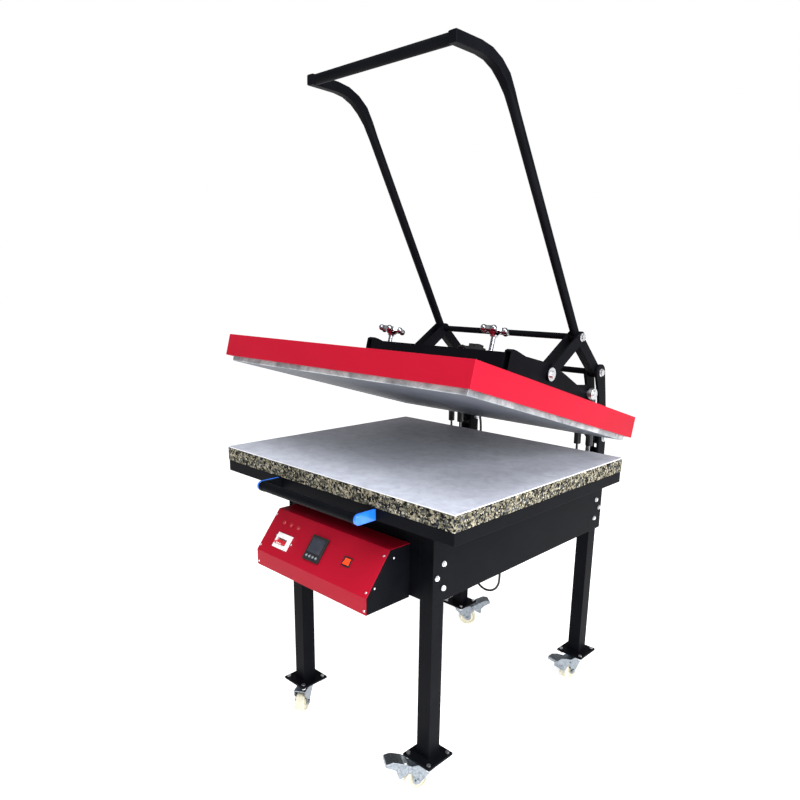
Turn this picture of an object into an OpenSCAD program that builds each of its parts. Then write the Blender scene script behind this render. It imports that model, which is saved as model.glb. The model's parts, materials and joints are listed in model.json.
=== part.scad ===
// Large-format flatbed heat press on a caster base. The bed pulls out to the front on two slides, the
// heated head tilts up on hinges behind it, and a bridge lever closes the head through a toggle.
// Units are millimetres: X right, Y back, Z up.

/* [Bed] */
// Width of the bed, left to right
bed_w = 1020; // [960:10:1060]
// Depth of the bed, front to back
bed_d = 870; // [850:5:880]
// Height of the bed's top surface above the floor
bed_top = 978; // [978:1:982]
// Thickness of the rebonded foam pad
foam_t = 47; // [30:1:50]
// Thickness of the heat-proof cover sheet
cover_t = 3; // [2:0.5:4]

/* [Head] */
// Angle the head stands open at
open_angle = 15.5; // [10:0.5:15.5]
// Width of the red head tray
tray_w = 1050; // [1040:2:1060]
// Depth of the red head tray
tray_d = 900; // [890:2:910]
// Height of the tray's side walls
tray_h = 70; // [60:1:70]
// Sheet thickness of the tray
tray_t = 2; // [1.5:0.5:3]
// Thickness of the aluminium heating plate
plate_t = 25; // [20:1:25]

/* [Base] */
// Side of the square leg tube
leg_w = 50; // [40:1:50]
// Wall of the leg tube
leg_t = 2.5; // [2:0.5:4]
// Side of each leg's base plate
foot_w = 110; // [100:1:112]
// Diameter of the caster wheels
wheel_d = 75; // [60:1:76]
// Width of the caster wheels
wheel_w = 32; // [26:1:34]

/* [Lever] */
// Side of the square lever tube
lever_w = 30; // [26:1:30]
// Radius of the bend below the grip
lever_bend_r = 163; // [120:1:170]
// Height of the grip above the floor with the head open
grip_z = 2113; // [2080:1:2120]

/* [Controls] */
// Width of the control box
box_w = 525; // [500:5:530]
// Sheet thickness of the control box
box_t = 1.5; // [1:0.5:2]

/* [Hidden] */

// Colours
BLACK = "#1b1c20";
RED = "#c41f33";
ZINC = "#b9bcc0";
CHROME = "#d9dbde";
CREAM = "#e9e5d3";

// Running clearance of a pin in its bore, and the gap kept between moving faces
fit = 0.05;
gap = 0.5;

// Moves the machine so that its bounding box is centred over the origin
frame_dy = -14;

// Frame: legs, rails and columns
leg_x = 307;
front_leg_y = -380;
rear_leg_y = 508;
foot_z = 108;
foot_t = 8;
foot_bolt = 43;
front_leg_top = 884;
rear_leg_top = 700;
rail_t = 4;
rail_bottom = 634;
rail_front_y = -409;
rail_rear_y = 555;
rail_flange_w = 44;
rail_flange_rear_y = 480;
rail_outer_x = leg_x + leg_w / 2 + rail_t;
leg_face_x = leg_x - leg_w / 2;
column_x = 305;
column_gap = 34;
column_t = 10;
column_y0 = 503;
column_y1 = 553;
column_foot_z = rear_leg_top + rail_t;
column_knee = [528, 1008];
column_mid = [499, 1155];
rear_web_top = 945;

// Pivots in the Y-Z plane: head hinge, lever pivot, toggle joint, link pin on the head, strut pins
hinge = [536, 990];
lever_pivot = [475, 1236];
toggle = [327, 1365];
hinge_pin_r = 10;
pin_r = 8;
strut_pin_r = 9;

// Head, drawn closed: f runs forward from the tray's rear face, h up from the plate's underside
head_gap = 2.6;
head_y = hinge[0] - 187.3;
head_z = bed_top + head_gap;
hinge_f = -187.3;
hinge_h = hinge[1] - head_z;
link_f = 254;
link_h = 160;
strut_f = -39;
strut_h = 148;
tray_h0 = 15;
plate_inset = 18;
arm_w = 26;
arm_plate_w = 16;
boss_w = 30;
beam_f = 455;
beam_h0 = 130;
beam_w = 50;
yoke_h0 = 88;

// Gas struts, two beside each arm
strut_dx = 24;
strut_eye_w = 16;
strut_base = [435, 913];
strut_top = [430, 1163];
strut_r = 13;
strut_rod_r = 5;
strut_slack = 1.1;
strut_len = norm(strut_top - strut_base);
strut_lean = atan2(strut_base[0] - strut_top[0], strut_top[1] - strut_base[1]);

// Slides
channel_x0 = 268;
channel_z0 = 842;
channel_z1 = 887;
channel_y0 = -395;
channel_y1 = 345;
channel_t = 2.5;
slide_lip = 7;

// Bed
bed_y0 = -530;
foam_z = bed_top - cover_t - foam_t;
bed_frame_h = 35;
bed_frame_z = foam_z - bed_frame_h;
bed_frame_inset = 2;
tube_t = 2.5;
bed_deck_t = 3;
bearer_x = 232;
handle_x = 220;
handle_y = -589;
handle_z = 909;
handle_r = 16;

// Control box: outer side outline, back upper corner first
box_x0 = -285;
box_x1 = box_x0 + box_w;
box_back_y = -405;
box_top_z = 798;
box_fold = [-485, 798];
box_nose = [-577, 679];
box_bottom_z = 628;
slope_a = atan2(box_fold[1] - box_nose[1], box_fold[0] - box_nose[0]);

// Places on the sloped panel: x, then distance down from the fold
lamp_at = [[-224, 38], [-187, 38], [-150, 38]];
breaker_at = [-187, 97];
breaker_size = [72, 50];
controller_at = [-30, 78];
controller_size = [72, 80];
key_dx = 15;
rocker_at = [110, 77];
rocker_size = [34, 30];
panel_screw_at = [[-280, 22], [-279, 132], [229, 22], [230, 135]];

// Casters: swivel axis and the direction that each one trails in
caster_at = [[-leg_x, front_leg_y], [leg_x, front_leg_y], [-leg_x, rear_leg_y], [leg_x, rear_leg_y]];
caster_turn = [-58, -122, 52, -100];
caster_trail = 38;
caster_axle_z = wheel_d / 2;
pedal_pivot = [58, 84];

// Where the heater lead leaves the control box
gland_at = [-60, 700];
gland_r = 8.8;

// Heater lead, by hand: out of the control box, along under the left slide channel, across the rear cross
// rail, down in a hanging loop and up behind the rail to the head's hinge
lead_r = 5;
lead_base_pts = [[-60, -412, 700], [-60, -396, 700], [-60, -372, 699], [-72, -342, 690],
    [-108, -318, 680], [-165, -300, 690], [-220, -282, 735], [-258, -255, 795], [-273, -215, 829],
    [-275, -170, 836], [-275, 0, 836], [-275, 170, 836], [-275, 320, 836], [-268, 380, 832],
    [-245, 450, 822], [-215, 500, 816], [-180, 524, 815], [-145, 524.5, 812], [-117, 524.5, 790],
    [-106, 524.5, 740], [-105, 525, 640], [-105, 526, 500], [-105, 527, 380], [-105, 529, 285],
    [-116, 531, 243], [-144, 533, 215], [-182, 535, 205], [-219, 537, 215], [-246, 539, 243],
    [-255, 541, 285], [-256, 545, 380], [-256, 547, 480], [-256, 548, 600], [-256, 548, 720],
    [-256, 548, 860], [-256, 545, 950], [-256, 537, 988]];
lead_head_pts = [[-256, 534, 993], [-256, 520, 1030], [-256, 490, 1070], [-256, 430, 1094],
    [-256, 350, 1098], [-256, 200, 1098], [-250, 90, 1098], [-230, 20, 1098], [-170, -20, 1098],
    [-80, -36, 1106], [0, -44, 1138], [45, -60, 1163], [85, -88, 1174], [118, -103, 1168.5],
    [134, -106.3, 1167]];

// ---------------------------------------------------------------- helpers

// Everything is drawn in the machine's own frame and shifted once
module machine() {
    translate([0, frame_dy, 0]) children();
}

// Both sides of the machine
module both_sides() {
    children();
    mirror([1, 0, 0]) children();
}

// A plate across X from x0 to x1, its outline drawn in (Y, Z)
module x_plate(x0, x1) {
    translate([x0, 0, 0]) rotate([90, 0, 90]) linear_extrude(x1 - x0) children();
}

// A round bar along X at a point of the Y-Z plane
module x_rod(p, x0, x1, r, fn = 40) {
    translate([x0, p[0], p[1]]) rotate([0, 90, 0]) cylinder(h = x1 - x0, r = r, $fn = fn);
}

// A box given by its lowest and highest corners
module span(lo, hi) {
    translate(lo) cube(hi - lo);
}

// Points on an arc, angles in degrees
function arc(c, r, a0, a1, n) = [for (i = [0:n]) c + r * [cos(a0 + (a1 - a0) * i / n), sin(a0 + (a1 - a0) * i / n)]];

// Outline of a bar with a round end of its own radius at each of two points
function bar_outline(p, rp, q, rq, n = 12) =
    let (d = norm(q - p), t = atan2(q[1] - p[1], q[0] - p[0]), a = acos((rp - rq) / d))
    concat(arc(q, rq, t - a, t + a, n), arc(p, rp, t + a, t + 360 - a, n));

// The head's place: closed outlines turned about the hinge to the open angle
module open_head() {
    translate([0, hinge[0], hinge[1]]) rotate([-open_angle, 0, 0]) translate([0, -hinge[0], -hinge[1]])
        children();
}

// A head point (f, h) as closed (Y, Z)
function head_at(f, h) = [head_y - f, head_z + h];

// A head point (f, h) at the open angle, as (Y, Z)
function head_open(f, h) =
    let (d = head_at(f, h) - hinge, c = cos(open_angle), s = sin(open_angle))
    hinge + [d[0] * c + d[1] * s, d[1] * c - d[0] * s];

// Hex bolt along +X: head outside x1, shank back to x0, and a nut inside x0
module x_bolt(p, x0, x1, r, nut_t = 6) {
    x_rod(p, x0, x1, r, 24);
    x_rod(p, x1, x1 + 1.5, r * 2.1, 32);
    x_rod(p, x1 + 1.5, x1 + 1.5 + r, r * 1.8, 6);
    if (nut_t > 0) x_rod(p, x0 - nut_t, x0, r * 1.8, 6);
}

// ---------------------------------------------------------------- base frame

module leg(x, y, top) {
    difference() {
        union() {
            span([x - leg_w / 2, y - leg_w / 2, foot_z + foot_t], [x + leg_w / 2, y + leg_w / 2, top]);
            span([x - foot_w / 2, y - foot_w / 2, foot_z], [x + foot_w / 2, y + foot_w / 2, foot_z + foot_t]);
        }
        span([x - leg_w / 2 + leg_t, y - leg_w / 2 + leg_t, foot_z + foot_t],
            [x + leg_w / 2 - leg_t, y + leg_w / 2 - leg_t, top + 1]);
        for (i = [-1, 1], j = [-1, 1])
            translate([x + i * foot_bolt, y + j * foot_bolt, foot_z - 1])
                cylinder(h = foot_t + 2, r = 4.2, $fn = 24);
    }
}

// Round hole through the box's back and the front cross rail
module gland_bore(r) {
    translate([gland_at[0], box_back_y - 20, gland_at[1]]) rotate([-90, 0, 0]) cylinder(h = 40, r = r, $fn = 32);
}

// Bolts that hold a side rail: on the front leg, on the rear leg and on the column
leg_bolts = [[-364, 750], [-393, 713], [-364, 675], [506, 681]];
column_bolts = [[512, 753], [538, 717]];
bolt_r = 4;

module legs() {
    color(BLACK) machine() both_sides() difference() {
        union() {
            leg(leg_x, front_leg_y, front_leg_top);
            leg(leg_x, rear_leg_y, rear_leg_top);
        }
        for (p = leg_bolts) x_rod(p, leg_x, rail_outer_x, bolt_r + 0.2, 24);
    }
}

module cross_rails() {
    color(BLACK) machine() {
        difference() {
            span([-leg_face_x, box_back_y, rail_bottom], [leg_face_x, box_back_y + rail_t, channel_z0 - 4]);
            gland_bore(gland_r + 0.2);
        }
        span([-leg_face_x + rail_t, rear_leg_y + 22, column_foot_z],
            [leg_face_x - rail_t, rear_leg_y + 22 + rail_t, front_leg_top]);
    }
}

// Side rail: web, top flange, the tab that carries the slide, and the lug between the lower strut eyes
module side_rail() {
    lug_w = 24;
    difference() {
        union() {
            span([rail_outer_x - rail_t, rail_front_y, rail_bottom],
                [rail_outer_x, rail_rear_y, front_leg_top + rail_t]);
            span([rail_outer_x - rail_flange_w, rail_front_y + rail_t, front_leg_top],
                [rail_outer_x, rail_flange_rear_y, front_leg_top + rail_t]);
            span([leg_face_x, channel_y1 - 35, channel_z0 + 8],
                [rail_outer_x, channel_y1 - 10, front_leg_top]);
            x_plate(column_x - lug_w / 2, column_x + lug_w / 2)
                polygon(concat([[strut_base[0] - 22, front_leg_top + rail_t],
                    [strut_base[0] + 22, front_leg_top + rail_t]], arc(strut_base, 14, 0, 180, 14)));
        }
        for (p = concat(leg_bolts, column_bolts)) x_rod(p, leg_x, rail_outer_x + 1, bolt_r + 0.2, 24);
        x_rod(strut_base, 280, 330, pin_r + fit);
    }
}

module side_rails() {
    color(BLACK) machine() both_sides() side_rail();
}

module column_outline() {
    polygon([[column_y0, column_foot_z], [column_y1, column_foot_z], [column_y1, column_knee[1]],
        [column_y0, column_knee[1]]]);
    polygon(bar_outline(column_knee, 25, column_mid, 24));
    polygon(bar_outline(column_mid, 24, lever_pivot, 30));
}

module column() {
    x_in = column_x - column_gap / 2;
    x_out = column_x + column_gap / 2;
    difference() {
        union() {
            x_plate(x_in - column_t, x_in) column_outline();
            x_plate(x_out, x_out + column_t) column_outline();
            span([x_in, column_y1 - rail_t, column_foot_z], [x_out, column_y1, rear_web_top]);
            span([x_in - column_t, rear_leg_y - leg_w / 2, rear_leg_top],
                [x_out + column_t, column_y1, column_foot_z]);
        }
        x_rod(hinge, x_in - 20, x_out + 20, hinge_pin_r + fit);
        x_rod(lever_pivot, x_in - 20, x_out + 20, pin_r + fit);
        for (p = column_bolts) x_rod(p, x_out - 1, x_out + 20, bolt_r + 0.2, 24);
    }
}

// Both columns and the round tie that joins their tops
module columns() {
    x_in = column_x - column_gap / 2 - column_t;
    color(BLACK) machine() {
        both_sides() column();
        difference() {
            x_rod(lever_pivot, -x_in, x_in, 11);
            x_rod(lever_pivot, -x_in - 1, x_in + 1, 9);
        }
    }
}

module rail_bolts() {
    color(ZINC) machine() both_sides() {
        for (p = leg_bolts) x_bolt(p, rail_outer_x - rail_t - leg_t, rail_outer_x, bolt_r);
        for (p = column_bolts) x_bolt(p, column_x + column_gap / 2, rail_outer_x, bolt_r);
    }
}

// Hinge pins, lever pivots and lower strut pins, each with a head outside and a nut or collar inside
module base_pivot_bolts() {
    x_in = column_x - column_gap / 2 - column_t;
    x_out = column_x + column_gap / 2 + column_t;
    color(ZINC) machine() both_sides() {
        x_rod(hinge, x_in - 3, x_out, hinge_pin_r);
        x_rod(hinge, x_out, x_out + 2, 16);
        x_rod(hinge, x_out + 2, x_out + 8, 15, 6);
        x_rod(hinge, x_in - 10, x_in, 15, 6);
        x_rod(lever_pivot, x_in + 0.5, x_out, pin_r);
        x_rod(lever_pivot, x_out, x_out + 2, 14);
        x_rod(lever_pivot, x_out + 2, x_out + 8, 12, 6);
        for (s = [-1, 1]) {
            x0 = column_x + s * (strut_dx + strut_eye_w / 2 + gap);
            x_rod(strut_base, min(x0, x0 + s * 4), max(x0, x0 + s * 4), 12, 32);
        }
        x_rod(strut_base, column_x - strut_dx - 8 - gap - 1, column_x + strut_dx + 8 + gap + 1, pin_r);
    }
}

// ---------------------------------------------------------------- slides

// Fixed outer member: a channel that opens toward the middle of the machine
module slide_channels() {
    color(ZINC) machine() both_sides() difference() {
        span([channel_x0, channel_y0, channel_z0], [leg_face_x, channel_y1, channel_z1]);
        span([channel_x0 + channel_t, channel_y0 - 1, channel_z0 + channel_t],
            [leg_face_x - channel_t, channel_y1 + 1, channel_z1 - channel_t]);
        span([channel_x0 - 1, channel_y0 - 1, channel_z0 + slide_lip],
            [channel_x0 + channel_t + 1, channel_y1 + 1, channel_z1 - slide_lip]);
    }
}

// Moving member: a head inside the channel, a neck, and an angle up to the bed frame
module slide_runners() {
    neck_x = channel_x0 - 6;
    y0 = channel_y0 + 2;
    y1 = channel_y1 - 15;
    color(ZINC) machine() both_sides() {
        span([channel_x0 + channel_t + 1, y0, channel_z0 + channel_t + 1.5],
            [leg_face_x - channel_t - 1, y1, channel_z1 - channel_t - 1.5]);
        span([neck_x, y0, channel_z0 + slide_lip + 3],
            [channel_x0 + channel_t + 1, y1, channel_z1 - slide_lip - 3]);
        span([neck_x - 4, y0, channel_z0 + 6], [neck_x, y1, bed_frame_z]);
        span([bearer_x + 3, y0, bed_frame_z - 3], [neck_x, y1, bed_frame_z]);
    }
}

// ---------------------------------------------------------------- bed

// Welded tube frame with a sheet deck; the tubes are closed and drained from below
module bed_frame() {
    x = bed_w / 2 - bed_frame_inset;
    y0 = bed_y0 + bed_frame_inset;
    y1 = bed_y0 + bed_d - bed_frame_inset;
    tube = bed_frame_h;
    z1 = foam_z - bed_deck_t;
    color(BLACK) machine() {
        difference() {
            span([-x, y0, bed_frame_z], [x, y1, foam_z]);
            for (a = [[-x + tube, -bearer_x - tube], [-bearer_x, bearer_x], [bearer_x + tube, x - tube]])
                span([a[0], y0 + tube, bed_frame_z - 1], [a[1], y1 - tube, z1]);
            for (y = [y0 + tube_t, y1 - tube + tube_t])
                span([-x + tube_t, y, bed_frame_z + tube_t], [x - tube_t, y + tube - 2 * tube_t, z1 - tube_t]);
            for (x0 = [-x, -bearer_x - tube, bearer_x, x - tube])
                span([x0 + tube_t, y0 + tube - 1, bed_frame_z + tube_t],
                    [x0 + tube - tube_t, y1 - tube + 1, z1 - tube_t]);
            for (i = [-1, 1], y = [y0 + tube / 2, y1 - tube / 2])
                translate([i * (x - tube / 2), y, bed_frame_z - 1]) cylinder(h = tube_t + 2, r = 4, $fn = 24);
        }
    }
}

module bed_foam() {
    color("#8d877a") machine()
        span([-bed_w / 2, bed_y0, foam_z], [bed_w / 2, bed_y0 + bed_d, bed_top - cover_t]);
}

module bed_cover() {
    color("#a9abb6") machine()
        span([-bed_w / 2, bed_y0, bed_top - cover_t], [bed_w / 2, bed_y0 + bed_d, bed_top]);
}

// Bridge handle: round bar between two legs that stand on the frame's front face
module pull_handle() {
    face_y = bed_y0 + bed_frame_inset;
    leg_t2 = 14;
    color(BLACK) machine() {
        x_rod([handle_y, handle_z], -handle_x + leg_t2, handle_x - leg_t2, handle_r - 1, 48);
        both_sides() x_plate(handle_x - leg_t2, handle_x)
            polygon(concat([[face_y, handle_z - handle_r], [face_y, handle_z + handle_r]],
                arc([handle_y, handle_z], handle_r, 90, 270, 16)));
    }
}

// Blue plastic covers over the outer faces of the handle's legs
module pull_handle_caps() {
    face_y = bed_y0 + bed_frame_inset;
    color("#2f86e6") machine() both_sides() {
        x_plate(handle_x, handle_x + 7)
            polygon(concat([[face_y, handle_z - handle_r], [face_y, handle_z + handle_r]],
                arc([handle_y, handle_z], handle_r, 90, 270, 16)));
        x_plate(handle_x + 7, handle_x + 9)
            polygon(concat([[face_y - 3, handle_z - handle_r + 3], [face_y - 3, handle_z + handle_r - 3]],
                arc([handle_y, handle_z], handle_r - 3, 90, 270, 16)));
    }
}

// ---------------------------------------------------------------- head

// A box in head terms: x range, f range and h range, drawn closed
module head_span(x, f, h) {
    span([x[0], head_y - f[1], head_z + h[0]], [x[1], head_y - f[0], head_z + h[1]]);
}

// Places of the hanger studs: f along each arm
stud_f = [110, 230, 430];
stud_r = 8;

// Folded sheet tray, open below, with a lip that closes on the heating plate
module head_cover() {
    x = tray_w / 2;
    lip = plate_inset - 4;
    h1 = tray_h0 + tray_h;
    color(RED) machine() open_head() difference() {
        head_span([-x, x], [0, tray_d], [tray_h0, h1]);
        head_span([-x + tray_t, x - tray_t], [tray_t, tray_d - tray_t], [tray_h0 + tray_t, h1 - tray_t]);
        head_span([-x + lip, x - lip], [lip, tray_d - lip], [tray_h0 - 1, tray_h0 + tray_t + 1]);
        for (s = [-1, 1], f = stud_f) translate([s * column_x, head_y - f, head_z + h1 - tray_t - 1])
            cylinder(h = tray_t + 2, r = stud_r + 0.5, $fn = 32);
    }
}

module heating_plate() {
    x = tray_w / 2 - plate_inset;
    c = 2;
    color("#c9cccf") machine() open_head() {
        head_span([-x, x], [plate_inset, tray_d - plate_inset], [c, plate_t]);
        head_span([-x + c, x - c], [plate_inset + c, tray_d - plate_inset - c], [0, c]);
    }
}

// Four hairpin heaters that lie on the plate
module heater_elements() {
    run = 430;
    bend = 50;
    r = 4;
    color("#6f6a66") machine() open_head() for (i = [0:3]) {
        f = 120 + 220 * i;
        s = i % 2 == 0 ? 1 : -1;
        translate([0, head_y - f, head_z + plate_t + r]) {
            for (k = [-1, 1]) translate([-run, k * bend, 0]) rotate([0, 90, 0])
                cylinder(h = 2 * run, r = r, $fn = 16);
            translate([s * run, 0, 0]) rotate([0, 0, -s * 90]) rotate_extrude(angle = 180, $fn = 40)
                translate([bend, 0]) circle(r = r, $fn = 16);
        }
    }
}

module insulation_blanket() {
    x = tray_w / 2 - plate_inset - 8;
    color("#e8e4da") machine() open_head() difference() {
        head_span([-x, x], [plate_inset + 8, tray_d - plate_inset - 8], [plate_t + 9, plate_t + 44]);
        for (s = [-1, 1], f = stud_f) translate([s * column_x, head_y - f, head_z + plate_t])
            cylinder(h = 60, r = stud_r + 1, $fn = 24);
    }
}

// Studs that hang the plate from the arms, each with a spacer between the tray and the arm
module head_studs() {
    h1 = tray_h0 + tray_h;
    color(ZINC) machine() open_head() for (s = [-1, 1], f = stud_f)
        translate([s * column_x, head_y - f, head_z]) {
            translate([0, 0, plate_t]) cylinder(h = h1 - plate_t, r = stud_r, $fn = 24);
            translate([0, 0, h1]) cylinder(h = yoke_h0 - h1, r = 13, $fn = 32);
        }
}

// Side outline of an arm's box part
function arm_outline() = [for (p = [[60, yoke_h0], [480, yoke_h0], [480, 186], [470, 192], [452, 192], [400, 186],
    [300, 192], [249, 195], [150, 180], [60, 162]]) head_at(p[0], p[1])];

// Outline of the arm's rear plate: box to strut pin, strut pin to hinge, and out to the rear beam
module arm_tail() {
    polygon(bar_outline(head_at(88, 122), 32, head_at(strut_f, strut_h), 30));
    polygon(bar_outline(head_at(strut_f, strut_h), 30, head_at(hinge_f, hinge_h), 27));
    polygon(bar_outline(head_at(-118, 24), 26, head_at(hinge_f, hinge_h), 27));
    polygon(bar_outline(head_at(-118, 24), 26, head_at(strut_f - 8, strut_h - 20), 24));
}

module arm() {
    wall = 3;
    difference() {
        union() {
            difference() {
                x_plate(column_x - arm_w / 2, column_x + arm_w / 2) polygon(arm_outline());
                head_span([column_x - arm_w / 2 + wall, column_x + arm_w / 2 - wall], [75, 481],
                    [yoke_h0 + wall, 150]);
                x_plate(column_x - arm_w / 2 + wall, column_x + arm_w / 2 - wall)
                    polygon([for (p = [[280, 149], [481, 149], [481, 182], [300, 187], [280, 187]])
                        head_at(p[0], p[1])]);
            }
            x_plate(column_x - arm_plate_w / 2, column_x + arm_plate_w / 2) arm_tail();
            x_rod(head_at(link_f, link_h), column_x - boss_w / 2, column_x + boss_w / 2, 22, 48);
            x_rod(head_at(hinge_f, hinge_h), column_x - boss_w / 2, column_x + boss_w / 2, 27, 48);
        }
        x_rod(head_at(link_f, link_h), column_x - 20, column_x + 20, pin_r + fit);
        x_rod(head_at(hinge_f, hinge_h), column_x - 20, column_x + 20, hinge_pin_r + fit);
        x_rod(head_at(strut_f, strut_h), column_x - 20, column_x + 20, strut_pin_r + fit);
    }
}

// Bore of the pressure screws in the front beam
screw_x = 224;
screw_f = 459;
screw_r = 7;

// Welded yoke: two arms, the front press beam and the rear beam
module head_yoke() {
    x_in = column_x - arm_w / 2;
    x_rear = column_x - arm_plate_w / 2;
    rear_half = 18;
    color(BLACK) machine() open_head() {
        both_sides() arm();
        difference() {
            head_span([-x_in, x_in], [beam_f - beam_w / 2, beam_f + beam_w / 2], [beam_h0, beam_h0 + beam_w]);
            head_span([-x_in - 1, x_in + 1], [beam_f - beam_w / 2 + tube_t, beam_f + beam_w / 2 - tube_t],
                [beam_h0 + tube_t, beam_h0 + beam_w - tube_t]);
            for (s = [-1, 1]) translate([s * screw_x, head_y - screw_f, head_z + beam_h0 - 1])
                cylinder(h = beam_w + 2, r = screw_r + fit, $fn = 32);
        }
        difference() {
            head_span([-x_rear, x_rear], [-118 - rear_half, -118 + rear_half], [24 - rear_half, 24 + rear_half]);
            head_span([-x_rear - 1, x_rear + 1], [-118 - rear_half + tube_t, -118 + rear_half - tube_t],
                [24 - rear_half + tube_t, 24 + rear_half - tube_t]);
        }
    }
}

// Link pins and upper strut pins, carried by the arms
module head_pins() {
    color(ZINC) machine() open_head() both_sides() {
        x_rod(head_at(link_f, link_h), column_x - 25, column_x + 25, pin_r);
        for (s = [-1, 1]) {
            x0 = column_x + s * 24.5;
            x_rod(head_at(link_f, link_h), min(x0, x0 + s * 2), max(x0, x0 + s * 2), 22, 40);
            x_rod(head_at(link_f, link_h), min(x0 + s * 2, x0 + s * 9), max(x0 + s * 2, x0 + s * 9), 12, 6);
            x1 = column_x + s * (strut_dx + strut_eye_w / 2 + gap);
            x_rod(head_at(strut_f, strut_h), min(x1, x1 + s * 4), max(x1, x1 + s * 4), 13, 32);
            x2 = column_x + s * arm_plate_w / 2;
            x3 = column_x + s * (strut_dx - strut_eye_w / 2 - gap);
            x_rod(head_at(strut_f, strut_h), min(x2, x3), max(x2, x3), 13, 32);
        }
        x_rod(head_at(strut_f, strut_h), column_x - strut_dx - 9 - gap, column_x + strut_dx + 9 + gap, strut_pin_r);
    }
}

// Two-pole terminal cover on the front beam
module terminal_block() {
    h0 = beam_h0 + beam_w;
    color("#141417") machine() open_head() {
        head_span([130, 190], [beam_f - 14, beam_f + 14], [h0, h0 + 11]);
        for (x = [140, 163]) head_span([x, x + 18], [beam_f - 12, beam_f + 12], [h0 + 11, h0 + 20]);
    }
}

// ---------------------------------------------------------------- pressure handwheels

// Lobed chrome wheel on a screw; lift is how far the wheel stands above the beam
module pressure_wheel(x, lift) {
    h0 = beam_h0 + beam_w;
    rim_r = 40;
    lobes = 6;
    color(CHROME) machine() open_head() translate([x, head_y - screw_f, head_z]) {
        translate([0, 0, yoke_h0]) cylinder(h = h0 + lift - yoke_h0, r = screw_r, $fn = 32);
        translate([0, 0, yoke_h0 - 2.7]) cylinder(h = 12, r = 16, $fn = 32);
        translate([0, 0, h0 + lift - 2]) rotate_extrude($fn = 48)
            polygon([[0, 0], [11, 0], [13, 6], [20, 14], [26, 22], [24, 27], [12, 24], [0, 24]]);
        difference() {
            translate([0, 0, h0 + lift + 12]) cylinder(h = 14, r = rim_r, $fn = 64);
            translate([0, 0, h0 + lift + 10]) rotate_extrude($fn = 48)
                polygon([[22, -1], [60, -1], [60, 7], [36, 4], [24, 12], [22, 12]]);
            translate([0, 0, h0 + lift + 20]) cylinder(h = 10, r = 30, $fn = 48);
        }
        for (k = [0:lobes - 1]) rotate([0, 0, 360 / lobes * k]) translate([rim_r - 2, 0, h0 + lift + 19])
            sphere(r = 10.5, $fn = 32);
    }
}

module pressure_wheel_left() {
    pressure_wheel(-screw_x, 26);
}

module pressure_wheel_right() {
    pressure_wheel(screw_x, 48);
}

// ---------------------------------------------------------------- lever and links

// The lever's own plane starts at the toggle joint and leans inward on the way up
lever_tilt = 31.66;
lever_lean = 1.42;
lever_bend_a = 90 - lever_tilt;
lever_tangent = lever_bend_r * tan(lever_bend_a / 2);
lever_rise = (grip_z - toggle[1]) / cos(lever_tilt);
lever_straight = lever_rise - lever_tangent;
lever_stub = 178 - lever_tangent;
grip_y = toggle[0] - lever_rise * sin(lever_tilt) - 178;
grip_x = column_x - (lever_rise + 178 * cos(lever_bend_a)) * sin(lever_lean);
lever_tube_t = 2.5;

// Square tube section, centred
module lever_section() {
    difference() {
        square(lever_w, center = true);
        square(lever_w - 2 * lever_tube_t, center = true);
    }
}

module lever_arm() {
    translate([column_x, toggle[0], toggle[1]]) rotate([lever_tilt, 0, 0]) rotate([0, -lever_lean, 0]) {
        translate([0, 0, 12]) linear_extrude(lever_straight - 12) lever_section();
        translate([0, -lever_bend_r, lever_straight]) rotate([0, 90, 0]) rotate([0, 0, 90])
            rotate_extrude(angle = lever_bend_a, $fn = 96) translate([lever_bend_r, 0]) lever_section();
        translate([0, -lever_bend_r, lever_straight]) rotate([lever_bend_a, 0, 0])
            translate([0, lever_bend_r, 0]) linear_extrude(lever_stub - lever_w / 2 + 1) lever_section();
    }
}

// Bridge lever: two arms with their rear links, and the grip across the top
module lever() {
    color(BLACK) machine() {
        both_sides() difference() {
            union() {
                x_plate(column_x - boss_w / 2, column_x + boss_w / 2)
                    polygon(bar_outline(toggle, 20, lever_pivot, 19));
                lever_arm();
            }
            x_rod(toggle, column_x - 20, column_x + 20, pin_r + fit);
            x_rod(lever_pivot, column_x - 20, column_x + 20, pin_r + fit);
        }
        difference() {
            span([-grip_x - lever_w / 2, grip_y - lever_w / 2, grip_z - lever_w / 2],
                [grip_x + lever_w / 2, grip_y + lever_w / 2, grip_z + lever_w / 2]);
            span([-grip_x + lever_w / 2, grip_y - lever_w / 2 + lever_tube_t, grip_z - lever_w / 2 + lever_tube_t],
                [grip_x - lever_w / 2, grip_y + lever_w / 2 - lever_tube_t, grip_z + lever_w / 2 - lever_tube_t]);
        }
    }
}

// Round tie between the two toggle joints
module lever_tie() {
    x = column_x - 24.5;
    color(BLACK) machine() difference() {
        x_rod(toggle, -x, x, 11);
        x_rod(toggle, -x - 1, x + 1, 9);
    }
}

// Toggle bolts: through outer link, lever and inner link into a plug in the tie
module lever_bolts() {
    color(ZINC) machine() both_sides() {
        x_rod(toggle, column_x - 44, column_x + 25, pin_r);
        x_rod(toggle, column_x - 44, column_x - 30, 9, 32);
        x_rod(toggle, column_x + 24.5, column_x + 26.5, 14, 32);
        x_rod(toggle, column_x + 26.5, column_x + 33, 12, 6);
    }
}

// A pair of flat links each side; the lower hole has room for the open pivot's travel
link_slack = 5.2;
link_t = 6;
link_dx = 17.5;

module front_links() {
    low = head_open(link_f, link_h);
    color(BLACK) machine() both_sides() for (x = [column_x - link_dx - link_t, column_x + link_dx])
        difference() {
            x_plate(x, x + link_t) polygon(bar_outline(toggle, 20, low, 21));
            x_rod(toggle, x - 1, x + link_t + 1, pin_r + fit);
            x_rod(low, x - 1, x + link_t + 1, pin_r + link_slack);
        }
}

// ---------------------------------------------------------------- gas struts

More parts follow.
